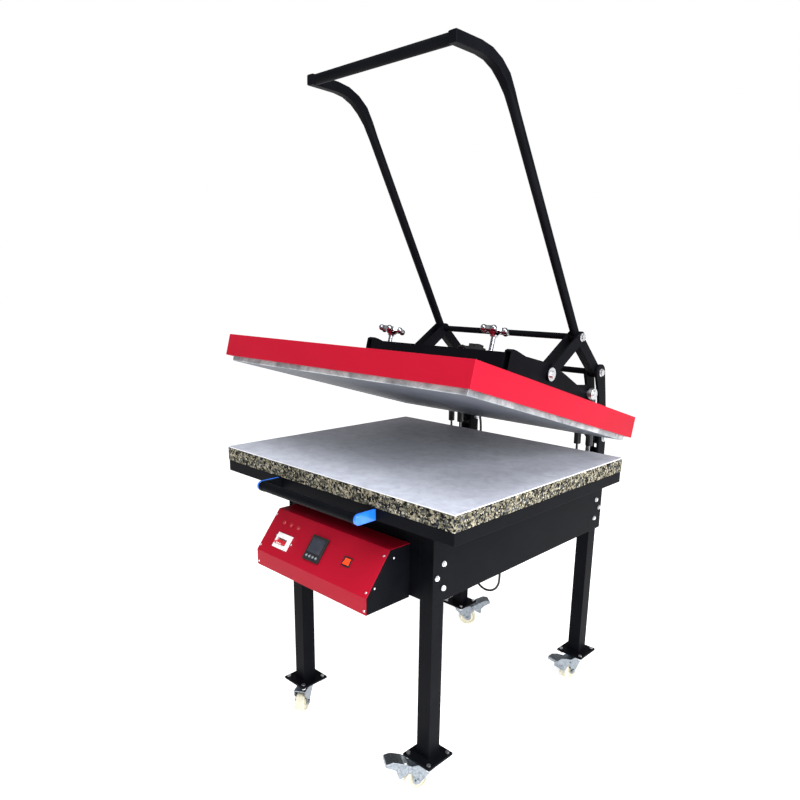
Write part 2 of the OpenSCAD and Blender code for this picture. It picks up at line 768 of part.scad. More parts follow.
// Along a strut: z runs up from the lower pin
module along_strut(s) {
    translate([column_x + s * strut_dx, strut_base[0], strut_base[1]]) rotate([strut_lean, 0, 0]) children();
}

module strut_eye(z, r, bore) {
    translate([0, 0, z]) rotate([0, 90, 0]) difference() {
        translate([0, 0, -strut_eye_w / 2]) cylinder(h = strut_eye_w, r = r, $fn = 40);
        translate([0, 0, -strut_eye_w]) cylinder(h = 2 * strut_eye_w, r = bore, $fn = 40);
    }
}

module strut_cylinders() {
    color("#26272b") machine() both_sides() for (s = [-1, 1]) along_strut(s) {
        strut_eye(strut_len, 21, strut_pin_r + strut_slack);
        difference() {
            translate([0, 0, 62]) cylinder(h = strut_len - 62 - 19, r = strut_r, $fn = 40);
            translate([0, 0, 61]) cylinder(h = strut_len - 62 - 30, r = strut_rod_r + fit, $fn = 32);
        }
    }
}

module strut_rods() {
    color(CHROME) machine() both_sides() for (s = [-1, 1]) along_strut(s) {
        strut_eye(0, 14, pin_r + fit);
        translate([0, 0, 13]) cylinder(h = 14, r = 9, $fn = 32);
        translate([0, 0, 27]) cylinder(h = 145, r = strut_rod_r, $fn = 32);
    }
}

// ---------------------------------------------------------------- control box

// The sloped panel's frame: X along the machine, Y up the slope, Z out of it
module on_panel(p = [0, 0]) {
    translate([0, box_fold[0], box_fold[1]]) rotate([slope_a, 0, 0]) translate([p[0], -p[1], 0]) children();
}

fold_in = box_t * tan(slope_a / 2);
nose_in = box_t * tan((90 - slope_a) / 2);
box_inner = [[box_back_y, box_top_z - box_t], [box_fold[0] + fold_in, box_top_z - box_t],
    [box_nose[0] + box_t, box_nose[1] - nose_in], [box_nose[0] + box_t, box_bottom_z], [box_back_y, box_bottom_z]];

module control_box_shell() {
    color(BLACK) machine() difference() {
        union() {
            x_plate(box_x0, box_x0 + box_t) polygon(box_inner);
            x_plate(box_x1 - box_t, box_x1) polygon(box_inner);
            span([box_x0, box_nose[0] + box_t, box_bottom_z], [box_x1, box_back_y, box_bottom_z + box_t]);
            span([box_x0, box_back_y - box_t, box_bottom_z], [box_x1, box_back_y, box_top_z - box_t]);
        }
        gland_bore(gland_r + 0.2);
    }
}

module control_box_cover() {
    outer = [[box_back_y, box_top_z], box_fold, box_nose, [box_nose[0], box_bottom_z]];
    inner = [[box_nose[0] + box_t, box_bottom_z], [box_nose[0] + box_t, box_nose[1] - nose_in],
        [box_fold[0] + fold_in, box_top_z - box_t], [box_back_y, box_top_z - box_t]];
    color(RED) machine() difference() {
        x_plate(box_x0, box_x1) polygon(concat(outer, inner));
        for (p = lamp_at) on_panel(p) translate([0, 0, -5]) cylinder(h = 10, r = 6.2, $fn = 32);
        on_panel(breaker_at) cube([breaker_size[0] - 4, breaker_size[1] - 4, 10], center = true);
        on_panel(controller_at) cube([controller_size[0] - 6, controller_size[1] - 6, 10], center = true);
        on_panel(rocker_at) cube([rocker_size[0] - 4, rocker_size[1] - 4, 10], center = true);
    }
}

module panel_screw() {
    rotate_extrude($fn = 24) polygon([[0, -6], [1.5, -6], [1.5, 0], [3.6, 0], [3.2, 1.4], [1.6, 2.2], [0, 2.2]]);
}

module control_box_screws() {
    color(ZINC) machine() {
        for (p = panel_screw_at) on_panel(p) panel_screw();
        for (p = [[-145, 96], [-229, 84]]) on_panel(p) panel_screw();
        for (x = [box_x0 + 8, box_x1 - 8]) translate([x, box_nose[0], 640]) rotate([90, 0, 0]) panel_screw();
        for (p = [[-470, 770], [-545, 700]]) translate([box_x1, p[0], p[1]]) rotate([0, 90, 0]) panel_screw();
    }
}

// Two-pole breaker: body behind the panel, stepped nose in front, slot for the toggle
module circuit_breaker() {
    w = breaker_size[0];
    d = breaker_size[1];
    color("#eceef0") machine() on_panel(breaker_at) difference() {
        union() {
            translate([-w / 2, -d / 2, 0]) cube([w, d, 4]);
            translate([-w / 2 + 6, -d / 2 + 5, 4]) cube([w - 12, d - 10, 5]);
            translate([-w / 2 + 2.2, -d / 2 + 2.2, -52]) cube([w - 4.4, d - 4.4, 52]);
        }
        translate([-w / 2 + 10, -12, -10]) cube([w - 20, 20, 30]);
    }
}

// Linked toggle of the breaker, on a shaft along the panel
module breaker_toggle() {
    w = breaker_size[0] - 22;
    color("#d3202f") machine() on_panel(breaker_at) translate([0, -2, -2]) {
        rotate([0, 90, 0]) cylinder(h = w, r = 6, center = true, $fn = 32);
        rotate([24, 0, 0]) translate([-w / 2, -2.5, 0]) cube([w, 5, 18]);
    }
}

module temperature_controller() {
    w = controller_size[0];
    d = controller_size[1];
    color("#17181b") machine() on_panel(controller_at) difference() {
        union() {
            translate([-w / 2, -d / 2, 0]) cube([w, d, 7]);
            translate([-w / 2 + 3.2, -d / 2 + 3.2, -80]) cube([w - 6.4, d - 6.4, 80]);
        }
        translate([-w / 2 + 8, -d / 2 + 24, 5]) cube([w - 16, d - 32, 5]);
        for (k = [0:3]) translate([(k - 1.5) * key_dx, -d / 2 + 13, 1]) cylinder(h = 10, r = 5.2, $fn = 32);
    }
}

module controller_key(k) {
    color("#8b8f95") machine() on_panel(controller_at)
        translate([(k - 1.5) * key_dx, -controller_size[1] / 2 + 13, 0])
            rotate_extrude($fn = 32) polygon([[0, 3.2], [4.8, 3.2], [4.8, 7.8], [4.2, 8.4], [0, 8.6]]);
}

module controller_key_1() {
    controller_key(0);
}

module controller_key_2() {
    controller_key(1);
}

module controller_key_3() {
    controller_key(2);
}

module controller_key_4() {
    controller_key(3);
}

rocker_tip = 10;
rocker_pin_r = 1.5;
rocker_pin_len = 27;

module rocker_housing() {
    w = rocker_size[0];
    d = rocker_size[1];
    color("#101114") machine() on_panel(rocker_at) difference() {
        union() {
            translate([-w / 2, -d / 2, 0]) cube([w, d, 2.5]);
            translate([-w / 2 + 2.2, -d / 2 + 2.2, -24]) cube([w - 4.4, d - 4.4, 24]);
        }
        translate([-w / 2 + 4.5, -d / 2 + 3.5, -10]) cube([w - 9, d - 7, 20]);
        rotate([0, 90, 0]) cylinder(h = rocker_pin_len + 0.6, r = rocker_pin_r + fit, center = true, $fn = 24);
    }
}

// Lit rocker on two short pins, drawn pressed at its upper end
module rocker_button() {
    w = rocker_size[0] - 10;
    color("#ff5a2a") machine() on_panel(rocker_at) {
        rotate([0, 90, 0]) cylinder(h = rocker_pin_len, r = rocker_pin_r, center = true, $fn = 24);
        rotate([-rocker_tip, 0, 0]) translate([-w / 2, 0, 0]) rotate([90, 0, 90]) linear_extrude(w)
            polygon([[-10, 0], [-6, -6.5], [6, -6.5], [10, 0], [10, 3.2], [0, 1.6], [-10, 3.2]]);
    }
}

module indicator_lamps() {
    color("#e02a2a") machine() for (p = lamp_at) on_panel(p)
        rotate_extrude($fn = 32) polygon([[0, -18], [6, -18], [6, 0], [8, 0], [8, 2], [6.2, 2.4], [5, 4.6], [0, 5.6]]);
}

// Contactor that switches the heaters, on the bottom of the box
module contactor() {
    color("#c9c2ae") machine() {
        span([150, -480, box_bottom_z + box_t], [195, -416, box_bottom_z + 62]);
        span([155, -470, box_bottom_z + 62], [190, -426, box_bottom_z + 76]);
    }
}

// Strain relief through the box's back wall and the front cross rail, a nut on each side
module cable_gland() {
    nut_t = 5;
    color("#101114") machine() difference() {
        translate([gland_at[0], box_back_y - box_t - nut_t, gland_at[1]]) rotate([-90, 0, 0]) {
            cylinder(h = nut_t, r = 13, $fn = 6);
            cylinder(h = 2 * nut_t + box_t + rail_t, r = gland_r, $fn = 32);
            translate([0, 0, nut_t + box_t + rail_t]) cylinder(h = nut_t, r = 13, $fn = 6);
        }
        gland_bore(lead_r);
    }
}

// ---------------------------------------------------------------- heater lead

// Points between the hand-placed ones, on a smooth curve through them
function curve(p, i, t) =
    let (n = len(p), a = p[max(i - 1, 0)], b = p[i], c = p[i + 1], d = p[min(i + 2, n - 1)])
    0.5 * (2 * b + (c - a) * t + (2 * a - 5 * b + 4 * c - d) * t * t + (3 * b - a - 3 * c + d) * t * t * t);

function unit(v) = v / norm(v);

function route(p, n) = concat([for (i = [0:len(p) - 2], k = [0:n - 1]) curve(p, i, k / n)], [p[len(p) - 1]]);

// One tube swept along a route; each ring is square to the route there
module swept(pts, r, sides = 10) {
    n = len(pts);
    rings = [for (i = [0:n - 1])
        let (t = unit(pts[min(i + 1, n - 1)] - pts[max(i - 1, 0)]),
            u = unit(cross(t, [1, 0.8, -1])),
            v = cross(t, u))
        for (k = [0:sides - 1]) pts[i] + r * (u * cos(360 / sides * k) + v * sin(360 / sides * k))];
    walls = [for (i = [0:n - 2], k = [0:sides - 1])
        let (k2 = (k + 1) % sides)
        [i * sides + k, i * sides + k2, (i + 1) * sides + k2, (i + 1) * sides + k]];
    ends = [[for (k = [sides - 1:-1:0]) k], [for (k = [0:sides - 1]) (n - 1) * sides + k]];
    polyhedron(points = rings, faces = concat(walls, ends), convexity = 10);
}

module heater_lead_base() {
    color("#0f1013") machine() swept(route(lead_base_pts, 2), lead_r);
}

module heater_lead_head() {
    color("#0f1013") machine() open_head() swept(route(lead_head_pts, 2), lead_r);
}

// ---------------------------------------------------------------- casters

// A caster's frame: origin on the floor under the swivel, X along the trail
module caster_frame(i) {
    translate([caster_at[i][0], caster_at[i][1], 0]) rotate([0, 0, caster_turn[i]]) children();
}

// Fixed top plates with their kingpins
module caster_plates() {
    w = 95;
    color(ZINC) machine() for (p = caster_at) translate([p[0], p[1], 0]) {
        difference() {
            translate([-w / 2, -w / 2, foot_z - 3]) cube([w, w, 3]);
            for (i = [-1, 1], j = [-1, 1]) translate([i * foot_bolt, j * foot_bolt, foot_z - 4])
                cylinder(h = 5, r = 4.2, $fn = 24);
        }
        translate([0, 0, 86]) cylinder(h = foot_z - 3 - 86, r = 6, $fn = 32);
        translate([0, 0, 86]) cylinder(h = 3, r = 11, $fn = 32);
    }
}

module caster_bolts() {
    color(ZINC) machine() for (p = caster_at, i = [-1, 1], j = [-1, 1])
        translate([p[0] + i * foot_bolt, p[1] + j * foot_bolt, 0]) {
            translate([0, 0, foot_z - 3]) cylinder(h = foot_t + 3, r = bolt_r, $fn = 24);
            translate([0, 0, foot_z + foot_t]) cylinder(h = 4, r = 7, $fn = 6);
            translate([0, 0, foot_z - 8]) cylinder(h = 5, r = 7, $fn = 6);
        }
}

// Stamped fork with its raceway and axle
module caster_fork(i) {
    side_y = 19;
    side_t = 3;
    axle = [caster_trail, caster_axle_z];
    side = concat([[66, 93.5], [-24, 93.5], [-24, 84]], arc(axle, 13, 215, 360, 12), [[49, 56], [62, 70], [66, 80]]);
    color(ZINC) machine() caster_frame(i) {
        difference() {
            union() {
                translate([-24, -side_y - side_t, 89.5]) cube([90, 2 * (side_y + side_t), 4]);
                translate([0, 0, 89.5]) cylinder(h = 4, r = 29, $fn = 48);
                translate([0, 0, 93.5]) cylinder(h = 11.1, r = 27, $fn = 48);
                for (y = [-side_y - side_t, side_y]) translate([0, y + side_t, 0]) rotate([90, 0, 0])
                    linear_extrude(side_t) polygon(side);
            }
            translate([0, 0, 80]) cylinder(h = 30, r = 6 + fit, $fn = 32);
            translate([0, 0, 96]) cylinder(h = 30, r = 15, $fn = 32);
            translate([pedal_pivot[0], -40, pedal_pivot[1]]) rotate([-90, 0, 0])
                cylinder(h = 80, r = 3 + fit, $fn = 24);
        }
        translate([axle[0], -24, axle[1]]) rotate([-90, 0, 0]) cylinder(h = 48, r = 5, $fn = 32);
        for (y = [-28, 22]) translate([axle[0], y, axle[1]]) rotate([-90, 0, 0]) cylinder(h = 6, r = 8, $fn = 6);
    }
}

module caster_wheel(i) {
    r = wheel_d / 2;
    h = wheel_w / 2;
    color(CREAM) machine() caster_frame(i) translate([caster_trail, 0, caster_axle_z]) rotate([90, 0, 0])
        rotate_extrude($fn = 72) polygon([[5 + fit, -h - 1.5], [13, -h - 1.5], [13, -h + 5], [26, -h + 5], [29, -h],
            [r - 2, -h], [r, -h + 2.5], [r, h - 2.5], [r - 2, h], [29, h], [26, h - 5], [13, h - 5],
            [13, h + 1.5], [5 + fit, h + 1.5]]);
}

// Brake pedal: two cheeks outside the fork, joined by the tread and by the release tab
module brake_pedal(i) {
    cheek = [[50, 92], [50, 77], [66, 73], [90, 58], [98, 60], [97, 80], [110, 92], [139, 106], [137, 116],
        [116, 120], [86, 110]];
    tread = [[83, 109], [86, 110], [116, 120], [137, 116], [139, 106], [136, 104.5], [134.5, 113.5],
        [116, 117], [86, 107]];
    tab = [[88, 58.8], [90, 58], [98, 60], [97, 80], [94.5, 80], [95.2, 62], [89, 61]];
    inner_y = 22.5;
    outer_y = 25;
    color(ZINC) machine() caster_frame(i) {
        for (y = [-outer_y, inner_y]) translate([0, y + outer_y - inner_y, 0]) rotate([90, 0, 0])
            linear_extrude(outer_y - inner_y) polygon(cheek);
        for (shape = [tread, tab]) translate([0, outer_y, 0]) rotate([90, 0, 0])
            linear_extrude(2 * outer_y) polygon(shape);
        for (s = [-1, 1]) translate([pedal_pivot[0], s == 1 ? 20 : -28, pedal_pivot[1]]) rotate([-90, 0, 0])
            cylinder(h = 8, r = 3, $fn = 24);
    }
}

module caster_fork_fl() {
    caster_fork(0);
}

module caster_fork_fr() {
    caster_fork(1);
}

module caster_fork_rl() {
    caster_fork(2);
}

module caster_fork_rr() {
    caster_fork(3);
}

module caster_wheel_fl() {
    caster_wheel(0);
}

module caster_wheel_fr() {
    caster_wheel(1);
}

module caster_wheel_rl() {
    caster_wheel(2);
}

module caster_wheel_rr() {
    caster_wheel(3);
}

module brake_pedal_fr() {
    brake_pedal(1);
}

module brake_pedal_rl() {
    brake_pedal(2);
}

module brake_pedal_rr() {
    brake_pedal(3);
}

// ---------------------------------------------------------------- nodes

legs();
cross_rails();
side_rails();
columns();
rail_bolts();
slide_channels();
caster_plates();
caster_bolts();
base_pivot_bolts();
control_box_shell();
control_box_cover();
control_box_screws();
circuit_breaker();
temperature_controller();
rocker_housing();
indicator_lamps();
contactor();
cable_gland();
heater_lead_base();
bed_frame();
bed_foam();
bed_cover();
slide_runners();
pull_handle();
pull_handle_caps();
head_cover();
heating_plate();
heater_elements();
insulation_blanket();
head_yoke();
head_studs();
head_pins();
terminal_block();
heater_lead_head();
pressure_wheel_left();
pressure_wheel_right();
lever();
lever_tie();
lever_bolts();
front_links();
strut_cylinders();
strut_rods();
breaker_toggle();
rocker_button();
controller_key_1();
controller_key_2();
controller_key_3();
controller_key_4();
caster_fork_fl();
caster_fork_fr();
caster_fork_rl();
caster_fork_rr();
caster_wheel_fl();
caster_wheel_fr();
caster_wheel_rl();
caster_wheel_rr();
brake_pedal_fr();
brake_pedal_rl();
brake_pedal_rr();
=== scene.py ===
import json
import math

import bmesh
import bpy
from mathutils import Matrix, Vector, noise

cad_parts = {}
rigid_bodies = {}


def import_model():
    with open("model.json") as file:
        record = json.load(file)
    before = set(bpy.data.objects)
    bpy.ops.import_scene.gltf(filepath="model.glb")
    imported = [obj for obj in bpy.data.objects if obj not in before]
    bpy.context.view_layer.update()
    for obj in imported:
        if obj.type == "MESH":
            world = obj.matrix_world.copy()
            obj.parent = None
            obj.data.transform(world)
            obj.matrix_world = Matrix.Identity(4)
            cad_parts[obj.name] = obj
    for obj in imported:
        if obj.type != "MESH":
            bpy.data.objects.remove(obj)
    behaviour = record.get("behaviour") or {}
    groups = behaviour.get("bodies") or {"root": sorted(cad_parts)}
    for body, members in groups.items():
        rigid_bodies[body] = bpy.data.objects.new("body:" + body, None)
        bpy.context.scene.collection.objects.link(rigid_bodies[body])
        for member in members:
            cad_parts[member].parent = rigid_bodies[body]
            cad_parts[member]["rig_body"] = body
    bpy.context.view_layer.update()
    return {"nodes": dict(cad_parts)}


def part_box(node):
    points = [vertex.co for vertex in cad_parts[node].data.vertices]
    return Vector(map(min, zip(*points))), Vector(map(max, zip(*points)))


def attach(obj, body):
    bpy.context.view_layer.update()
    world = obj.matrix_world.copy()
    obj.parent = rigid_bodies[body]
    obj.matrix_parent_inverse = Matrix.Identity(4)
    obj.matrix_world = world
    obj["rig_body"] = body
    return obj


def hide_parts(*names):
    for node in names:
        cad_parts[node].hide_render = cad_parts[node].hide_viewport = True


bl_info = {
    "name": "Flatbed Heat Press",
    "version": (1, 0, 0),
    "blender": (4, 5, 0),
    "location": "View3D > Sidebar > Heat Press",
    "description": "Finishes a large-format flatbed heat press round its packed frame",
    "category": "Object",
}

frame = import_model()
NODES = frame["nodes"]

# The machine's own places, in metres, as the frame has them
SHIFT_Y = -0.014
HINGE = Vector((0.0, 0.536 + SHIFT_Y, 0.990))
OPEN_TILT = math.radians(15.5)
PANEL_FOLD = Vector((0.0, -0.485 + SHIFT_Y, 0.798))
PANEL_SLOPE = math.atan2(0.798 - 0.679, 0.577 - 0.485)
HEAD_REAR_Y = 0.3487 + SHIFT_Y
PLATEN_Z = 0.9806
STRUT_PIN, STRUT_EYE_R = (0.430 + SHIFT_Y, 1.163), 0.0225
CONTROLLER_AT, BREAKER_AT = (-0.030, 0.078), (-0.187, 0.097)
LEG_X, LEG_Y, FOOT_Z = 0.307, (-0.380, 0.508), 0.1165
SCREW_X, SCREW_FORWARD, SCREW_FOOT = 0.224, 0.459, 0.1806

# Heater lead on the base: out of the gland, under the left slide channel, over the rear cross rail,
# down in a hanging loop and up behind the rail to the head's hinge. Millimetres, before the shift.
LEAD_BASE = [(-60, -396, 700), (-60, -372, 699), (-72, -342, 690), (-108, -318, 680), (-165, -300, 690),
             (-220, -282, 735), (-258, -255, 795), (-273, -215, 829), (-275, -170, 836), (-275, 0, 836),
             (-275, 170, 836), (-275, 320, 836), (-268, 380, 832), (-245, 450, 822), (-215, 500, 816),
             (-180, 524, 815), (-145, 524.5, 812), (-117, 524.5, 790), (-106, 524.5, 740),
             (-105, 525, 640), (-105, 526, 500), (-105, 527, 380), (-105, 529, 285), (-116, 531, 243),
             (-144, 533, 215), (-182, 535, 205), (-219, 537, 215), (-246, 539, 243), (-255, 541, 285),
             (-256, 545, 380), (-256, 547, 480), (-256, 548, 600), (-256, 548, 720), (-256, 548, 860),
             (-256, 545, 950), (-256, 537, 988)]
# Heater lead on the head, drawn with the head closed
LEAD_HEAD = [(-256, 534, 993), (-256, 520, 1030), (-256, 490, 1070), (-256, 430, 1094), (-256, 350, 1098),
             (-256, 200, 1098), (-250, 90, 1098), (-230, 20, 1098), (-170, -20, 1098), (-80, -36, 1106),
             (0, -44, 1138), (45, -60, 1163), (85, -88, 1174), (118, -103, 1168.5), (134, -106.3, 1166)]


# ------------------------------------------------------------------ sizes and colours a user may change

class PressColours(bpy.types.PropertyGroup):
    """Colours of the press's finishes"""
    black: bpy.props.StringProperty(
        name="Black powder coat", description="sRGB colour of the steel frame", default="#08090d")
    red: bpy.props.StringProperty(
        name="Red powder coat", description="sRGB colour of the head and panel", default="#9c0b22")
    cloth: bpy.props.StringProperty(
        name="Cover cloth", description="sRGB colour of the heat-proof cover", default="#b7bccb")
    caps: bpy.props.StringProperty(
        name="Handle covers", description="sRGB colour of the handle's leg covers", default="#1565d2")


class PressSizes(bpy.types.PropertyGroup):
    """Sizes of the pieces made here"""
    chip: bpy.props.FloatProperty(
        name="Foam chip", description="Radius of a foam chip", default=0.0029,
        min=0.001, max=0.008, unit="LENGTH", subtype="DISTANCE")
    chip_density: bpy.props.FloatProperty(
        name="Chip density", description="Chips on each square metre of cut foam", default=26000.0,
        min=1000.0, max=30000.0)
    ripple: bpy.props.FloatProperty(
        name="Cover ripple", description="Height of the cover's ripples", default=0.0007,
        min=0.0, max=0.001, unit="LENGTH", subtype="DISTANCE")
    # The cover's white rim is painted highlight along its edge; this is the sheet's own thickness
    cloth: bpy.props.FloatProperty(
        name="Cover thickness", description="Thickness of the felt-backed cover", default=0.0026,
        min=0.001, max=0.003, unit="LENGTH", subtype="DISTANCE")
    bead: bpy.props.FloatProperty(
        name="Weld bead", description="Radius of a weld ripple", default=0.0026,
        min=0.001, max=0.004, unit="LENGTH", subtype="DISTANCE")
    lead: bpy.props.FloatProperty(
        name="Heater lead", description="Diameter of the heater lead", default=0.010,
        min=0.006, max=0.011, unit="LENGTH", subtype="DISTANCE")


# ------------------------------------------------------------------ small tools

def srgb(code):
    """A '#rrggbb' colour as linear RGBA."""
    parts = [int(code.lstrip("#")[i:i + 2], 16) / 255 for i in (0, 2, 4)]
    return tuple(c / 12.92 if c <= 0.04045 else ((c + 0.055) / 1.055) ** 2.4 for c in parts) + (1.0,)


def add(tree, kind, sockets=None, stops=None, **settings):
    """Adds a node, sets its settings, fills or links its sockets, and lays out a ramp's stops."""
    made = tree.nodes.new(kind)
    for key, value in settings.items():
        setattr(made, key, value)
    for key, value in (sockets or {}).items():
        if isinstance(value, bpy.types.NodeSocket):
            tree.links.new(value, made.inputs[key])
        else:
            made.inputs[key].default_value = value
    if stops:
        ramp = made.color_ramp
        while len(ramp.elements) > 1:
            ramp.elements.remove(ramp.elements[-1])
        for i, (at, colour) in enumerate(stops):
            stop = ramp.elements[0] if i == 0 else ramp.elements.new(at)
            stop.position, stop.color = at, colour
    return made


def grey(value):
    return (value, value, value, 1.0)


def blank_finish(name, **constants):
    """A new material with its shader's plain sockets set: (material, tree, shader)."""
    finish = bpy.data.materials.new(name)
    finish.use_nodes = True
    tree = finish.node_tree
    shader = tree.nodes["Principled BSDF"]
    for key, value in constants.items():
        shader.inputs[key.replace("_", " ")].default_value = value
    return finish, tree, shader


def steer(tree, shader, socket, source):
    tree.links.new(source, shader.inputs[socket])


def new_piece(name, bm, body, finishes, smooth_below=32.0):
    """A mesh object from a bmesh, smooth where faces meet under the given angle, riding on a body."""
    mesh = bpy.data.meshes.new(name)
    bm.to_mesh(mesh)
    bm.free()
    return place_mesh(name, mesh, body, finishes, smooth_below)


def place_mesh(name, mesh, body, finishes, smooth_below=32.0):
    for finish in finishes:
        mesh.materials.append(finish)
    if smooth_below:
        mesh.shade_smooth()
        mesh.set_sharp_from_angle(angle=math.radians(smooth_below))
    piece = bpy.data.objects.new(name, mesh)
    bpy.context.scene.collection.objects.link(piece)
    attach(piece, body)
    return piece


def open_head_point(p):
    """A point drawn with the head closed, turned to the angle that the head stands open at."""
    return HINGE + Matrix.Rotation(-OPEN_TILT, 3, "X") @ (Vector(p) - HINGE)


def head_place(x, f, h):
    """A head point: x across, f forward from the tray's rear face, h up from the platen."""
    return open_head_point((x, HEAD_REAR_Y - f, PLATEN_Z + h))


def panel_place(x, down, out):
    """A point of the sloped control panel: x across, down from its fold, out from its face."""
    turn = Matrix.Rotation(PANEL_SLOPE, 3, "X")
    return PANEL_FOLD + Vector((x, 0, 0)) + turn @ Vector((0, -down, out))


def smooth_route(points, steps):
    """Points on a smooth curve through the given ones."""
    pts = [Vector(p) for p in points]
    out = []
    for i in range(len(pts) - 1):
        a, b, c, d = pts[max(i - 1, 0)], pts[i], pts[i + 1], pts[min(i + 2, len(pts) - 1)]
        for k in range(steps):
            t = k / steps
            out.append(0.5 * (2 * b + (c - a) * t + (2 * a - 5 * b + 4 * c - d) * t * t
                              + (3 * b - a - 3 * c + d) * t ** 3))
    return out + [pts[-1]]


def add_slab(bm, place, x, down, out, material=0):
    """A rectangular slab given by its ranges in a placing function's three numbers."""
    corners = [bm.verts.new(place(a, b, c)) for a in x for b in down for c in out]
    made = []
    for ids in ((0, 1, 3, 2), (4, 6, 7, 5), (0, 4, 5, 1), (2, 3, 7, 6), (0, 2, 6, 4), (1, 5, 7, 3)):
        face = bm.faces.new([corners[i] for i in ids])
        face.material_index = material
        made.append(face)
    return made


def add_prism(bm, place, outline, out, material=0):
    """A flat shape given by its outline in two numbers, and its range in the third."""
    low = [bm.verts.new(place(a, b, out[0])) for a, b in outline]
    high = [bm.verts.new(place(a, b, out[1])) for a, b in outline]
    n = len(outline)
    faces = [bm.faces.new(low[::-1]), bm.faces.new(high)]
    faces += [bm.faces.new((low[i], low[(i + 1) % n], high[(i + 1) % n], high[i])) for i in range(n)]
    for face in faces:
        face.material_index = material


def lathe(bm, profile, place, steps, material=0):
    """A closed solid of revolution: profile is (radius, along), place turns (x, y, along) to the frame."""
    rings = []
    for radius, along in profile:
        if radius < 1e-7:
            rings.append([bm.verts.new(place(0, 0, along))])
        else:
            rings.append([bm.verts.new(place(radius * math.cos(2 * math.pi * k / steps),
                                             radius * math.sin(2 * math.pi * k / steps), along))
                          for k in range(steps)])
    for low, high in zip(rings, rings[1:]):
        for k in range(steps):
            k2 = (k + 1) % steps
            if len(low) == 1:
                corners = (low[0], high[k2], high[k])
            elif len(high) == 1:
                corners = (low[k], low[k2], high[0])
            else:
                corners = (low[k], low[k2], high[k2], high[k])
            bm.faces.new(corners).material_index = material


def face_outwards(bm):
    bmesh.ops.remove_doubles(bm, verts=bm.verts[:], dist=1e-6)
    bmesh.ops.recalc_face_normals(bm, faces=bm.faces[:])


def round_edges(node, radius, finishes, pick=None, segments=2):
    """A copy of a CAD node with its sharp edges rounded, which stands for the node."""
    source = NODES[node]
    bm = bmesh.new()
    bm.from_mesh(source.data)
    bmesh.ops.remove_doubles(bm, verts=bm.verts[:], dist=1e-5)
    bmesh.ops.dissolve_limit(bm, angle_limit=math.radians(0.6), verts=bm.verts[:], edges=bm.edges[:])
    if pick:
        for face in bm.faces:
            face.material_index = pick(face)
    mesh = bpy.data.meshes.new(node + "_blank")
    bm.to_mesh(mesh)
    bm.free()
    for finish in finishes:
        mesh.materials.append(finish)
    piece = soften(node + "_finished", mesh, radius, source["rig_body"], segments)
    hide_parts(node)
    return piece


def soften(name, mesh, radius, body, segments=2):
    """Rounds a mesh's sharp edges, keeps its flat faces flat, and makes the result a piece."""
    mesh.shade_smooth()
    blank = bpy.data.objects.new(name + "_blank", mesh)
    bpy.context.scene.collection.objects.link(blank)
    edge = blank.modifiers.new("edge", "BEVEL")
    edge.width, edge.segments, edge.limit_method = radius, segments, "ANGLE"
    edge.angle_limit, edge.use_clamp_overlap = math.radians(34), False
    edge.miter_outer = "MITER_ARC"
    level = blank.modifiers.new("level", "WEIGHTED_NORMAL")
    level.keep_sharp, level.weight = True, 90
    depsgraph = bpy.context.evaluated_depsgraph_get()
    done = bpy.data.meshes.new_from_object(blank.evaluated_get(depsgraph), depsgraph=depsgraph)
    bpy.data.objects.remove(blank)
    return place_mesh(name, done, body, [], None)


def coat_nodes(nodes, finish):
    """Gives CAD nodes a finish through their own material slots."""
    for name in nodes:
        owner = NODES[name]
        if not owner.data.materials:
            owner.data.materials.append(finish)
        for slot in owner.material_slots:
            slot.link = "OBJECT"
            slot.material = finish


# ------------------------------------------------------------------ Geometry Nodes

def new_tree(name, inputs):
    """A Geometry Nodes tree with named inputs: (tree, group input, group output)."""
    tree = bpy.data.node_groups.new(name, "GeometryNodeTree")
    tree.interface.new_socket("Geometry", in_out="INPUT", socket_type="NodeSocketGeometry")
    for label, kind, default in inputs:
        socket = tree.interface.new_socket(label, in_out="INPUT", socket_type=kind)
        if default is not None:
            socket.default_value = default
    tree.interface.new_socket("Geometry", in_out="OUTPUT", socket_type="NodeSocketGeometry")
    return tree, tree.nodes.new("NodeGroupInput"), tree.nodes.new("NodeGroupOutput")


def close_tree(tree, given, out, instances):
    """Ends a tree: its instances made real, and the finish laid on them."""
    whole = add(tree, "GeometryNodeRealizeInstances", {"Geometry": instances})
    coated = add(tree, "GeometryNodeSetMaterial",
                 {"Geometry": whole.outputs["Geometry"], "Material": given.outputs["Finish"]})
    tree.links.new(coated.outputs["Geometry"], out.inputs["Geometry"])
    return tree


def grow(name, tree, seed_mesh, body, values, smooth_below=40.0):
    """Runs a tree on a mesh and keeps the plain mesh that comes out, riding on a body."""
    carrier = bpy.data.objects.new(name + "_carrier", seed_mesh)
    bpy.context.scene.collection.objects.link(carrier)
    modifier = carrier.modifiers.new("grow", "NODES")
    modifier.node_group = tree
    for item in tree.interface.items_tree:
        if item.item_type == "SOCKET" and item.in_out == "INPUT" and item.name in values:
            modifier[item.identifier] = values[item.name]
    carrier.update_tag()
    depsgraph = bpy.context.evaluated_depsgraph_get()
    depsgraph.update()
    mesh = bpy.data.meshes.new_from_object(carrier.evaluated_get(depsgraph), depsgraph=depsgraph)
    carrier.modifiers.remove(modifier)
    bpy.data.objects.remove(carrier)
    if not mesh.polygons:
        raise RuntimeError(f"{name}: its tree made no faces")
    return place_mesh(name, mesh, body, [], smooth_below)


def point_mesh(name, points, turns=None):
    """A mesh of loose points, with a turn stored for each."""
    mesh = bpy.data.meshes.new(name)
    mesh.from_pydata([tuple(p) for p in points], [], [])
    if turns:
        stored = mesh.attributes.new("turn", "FLOAT_VECTOR", "POINT")
        for item, turn in zip(stored.data, turns):
            item.vector = turn
    return mesh


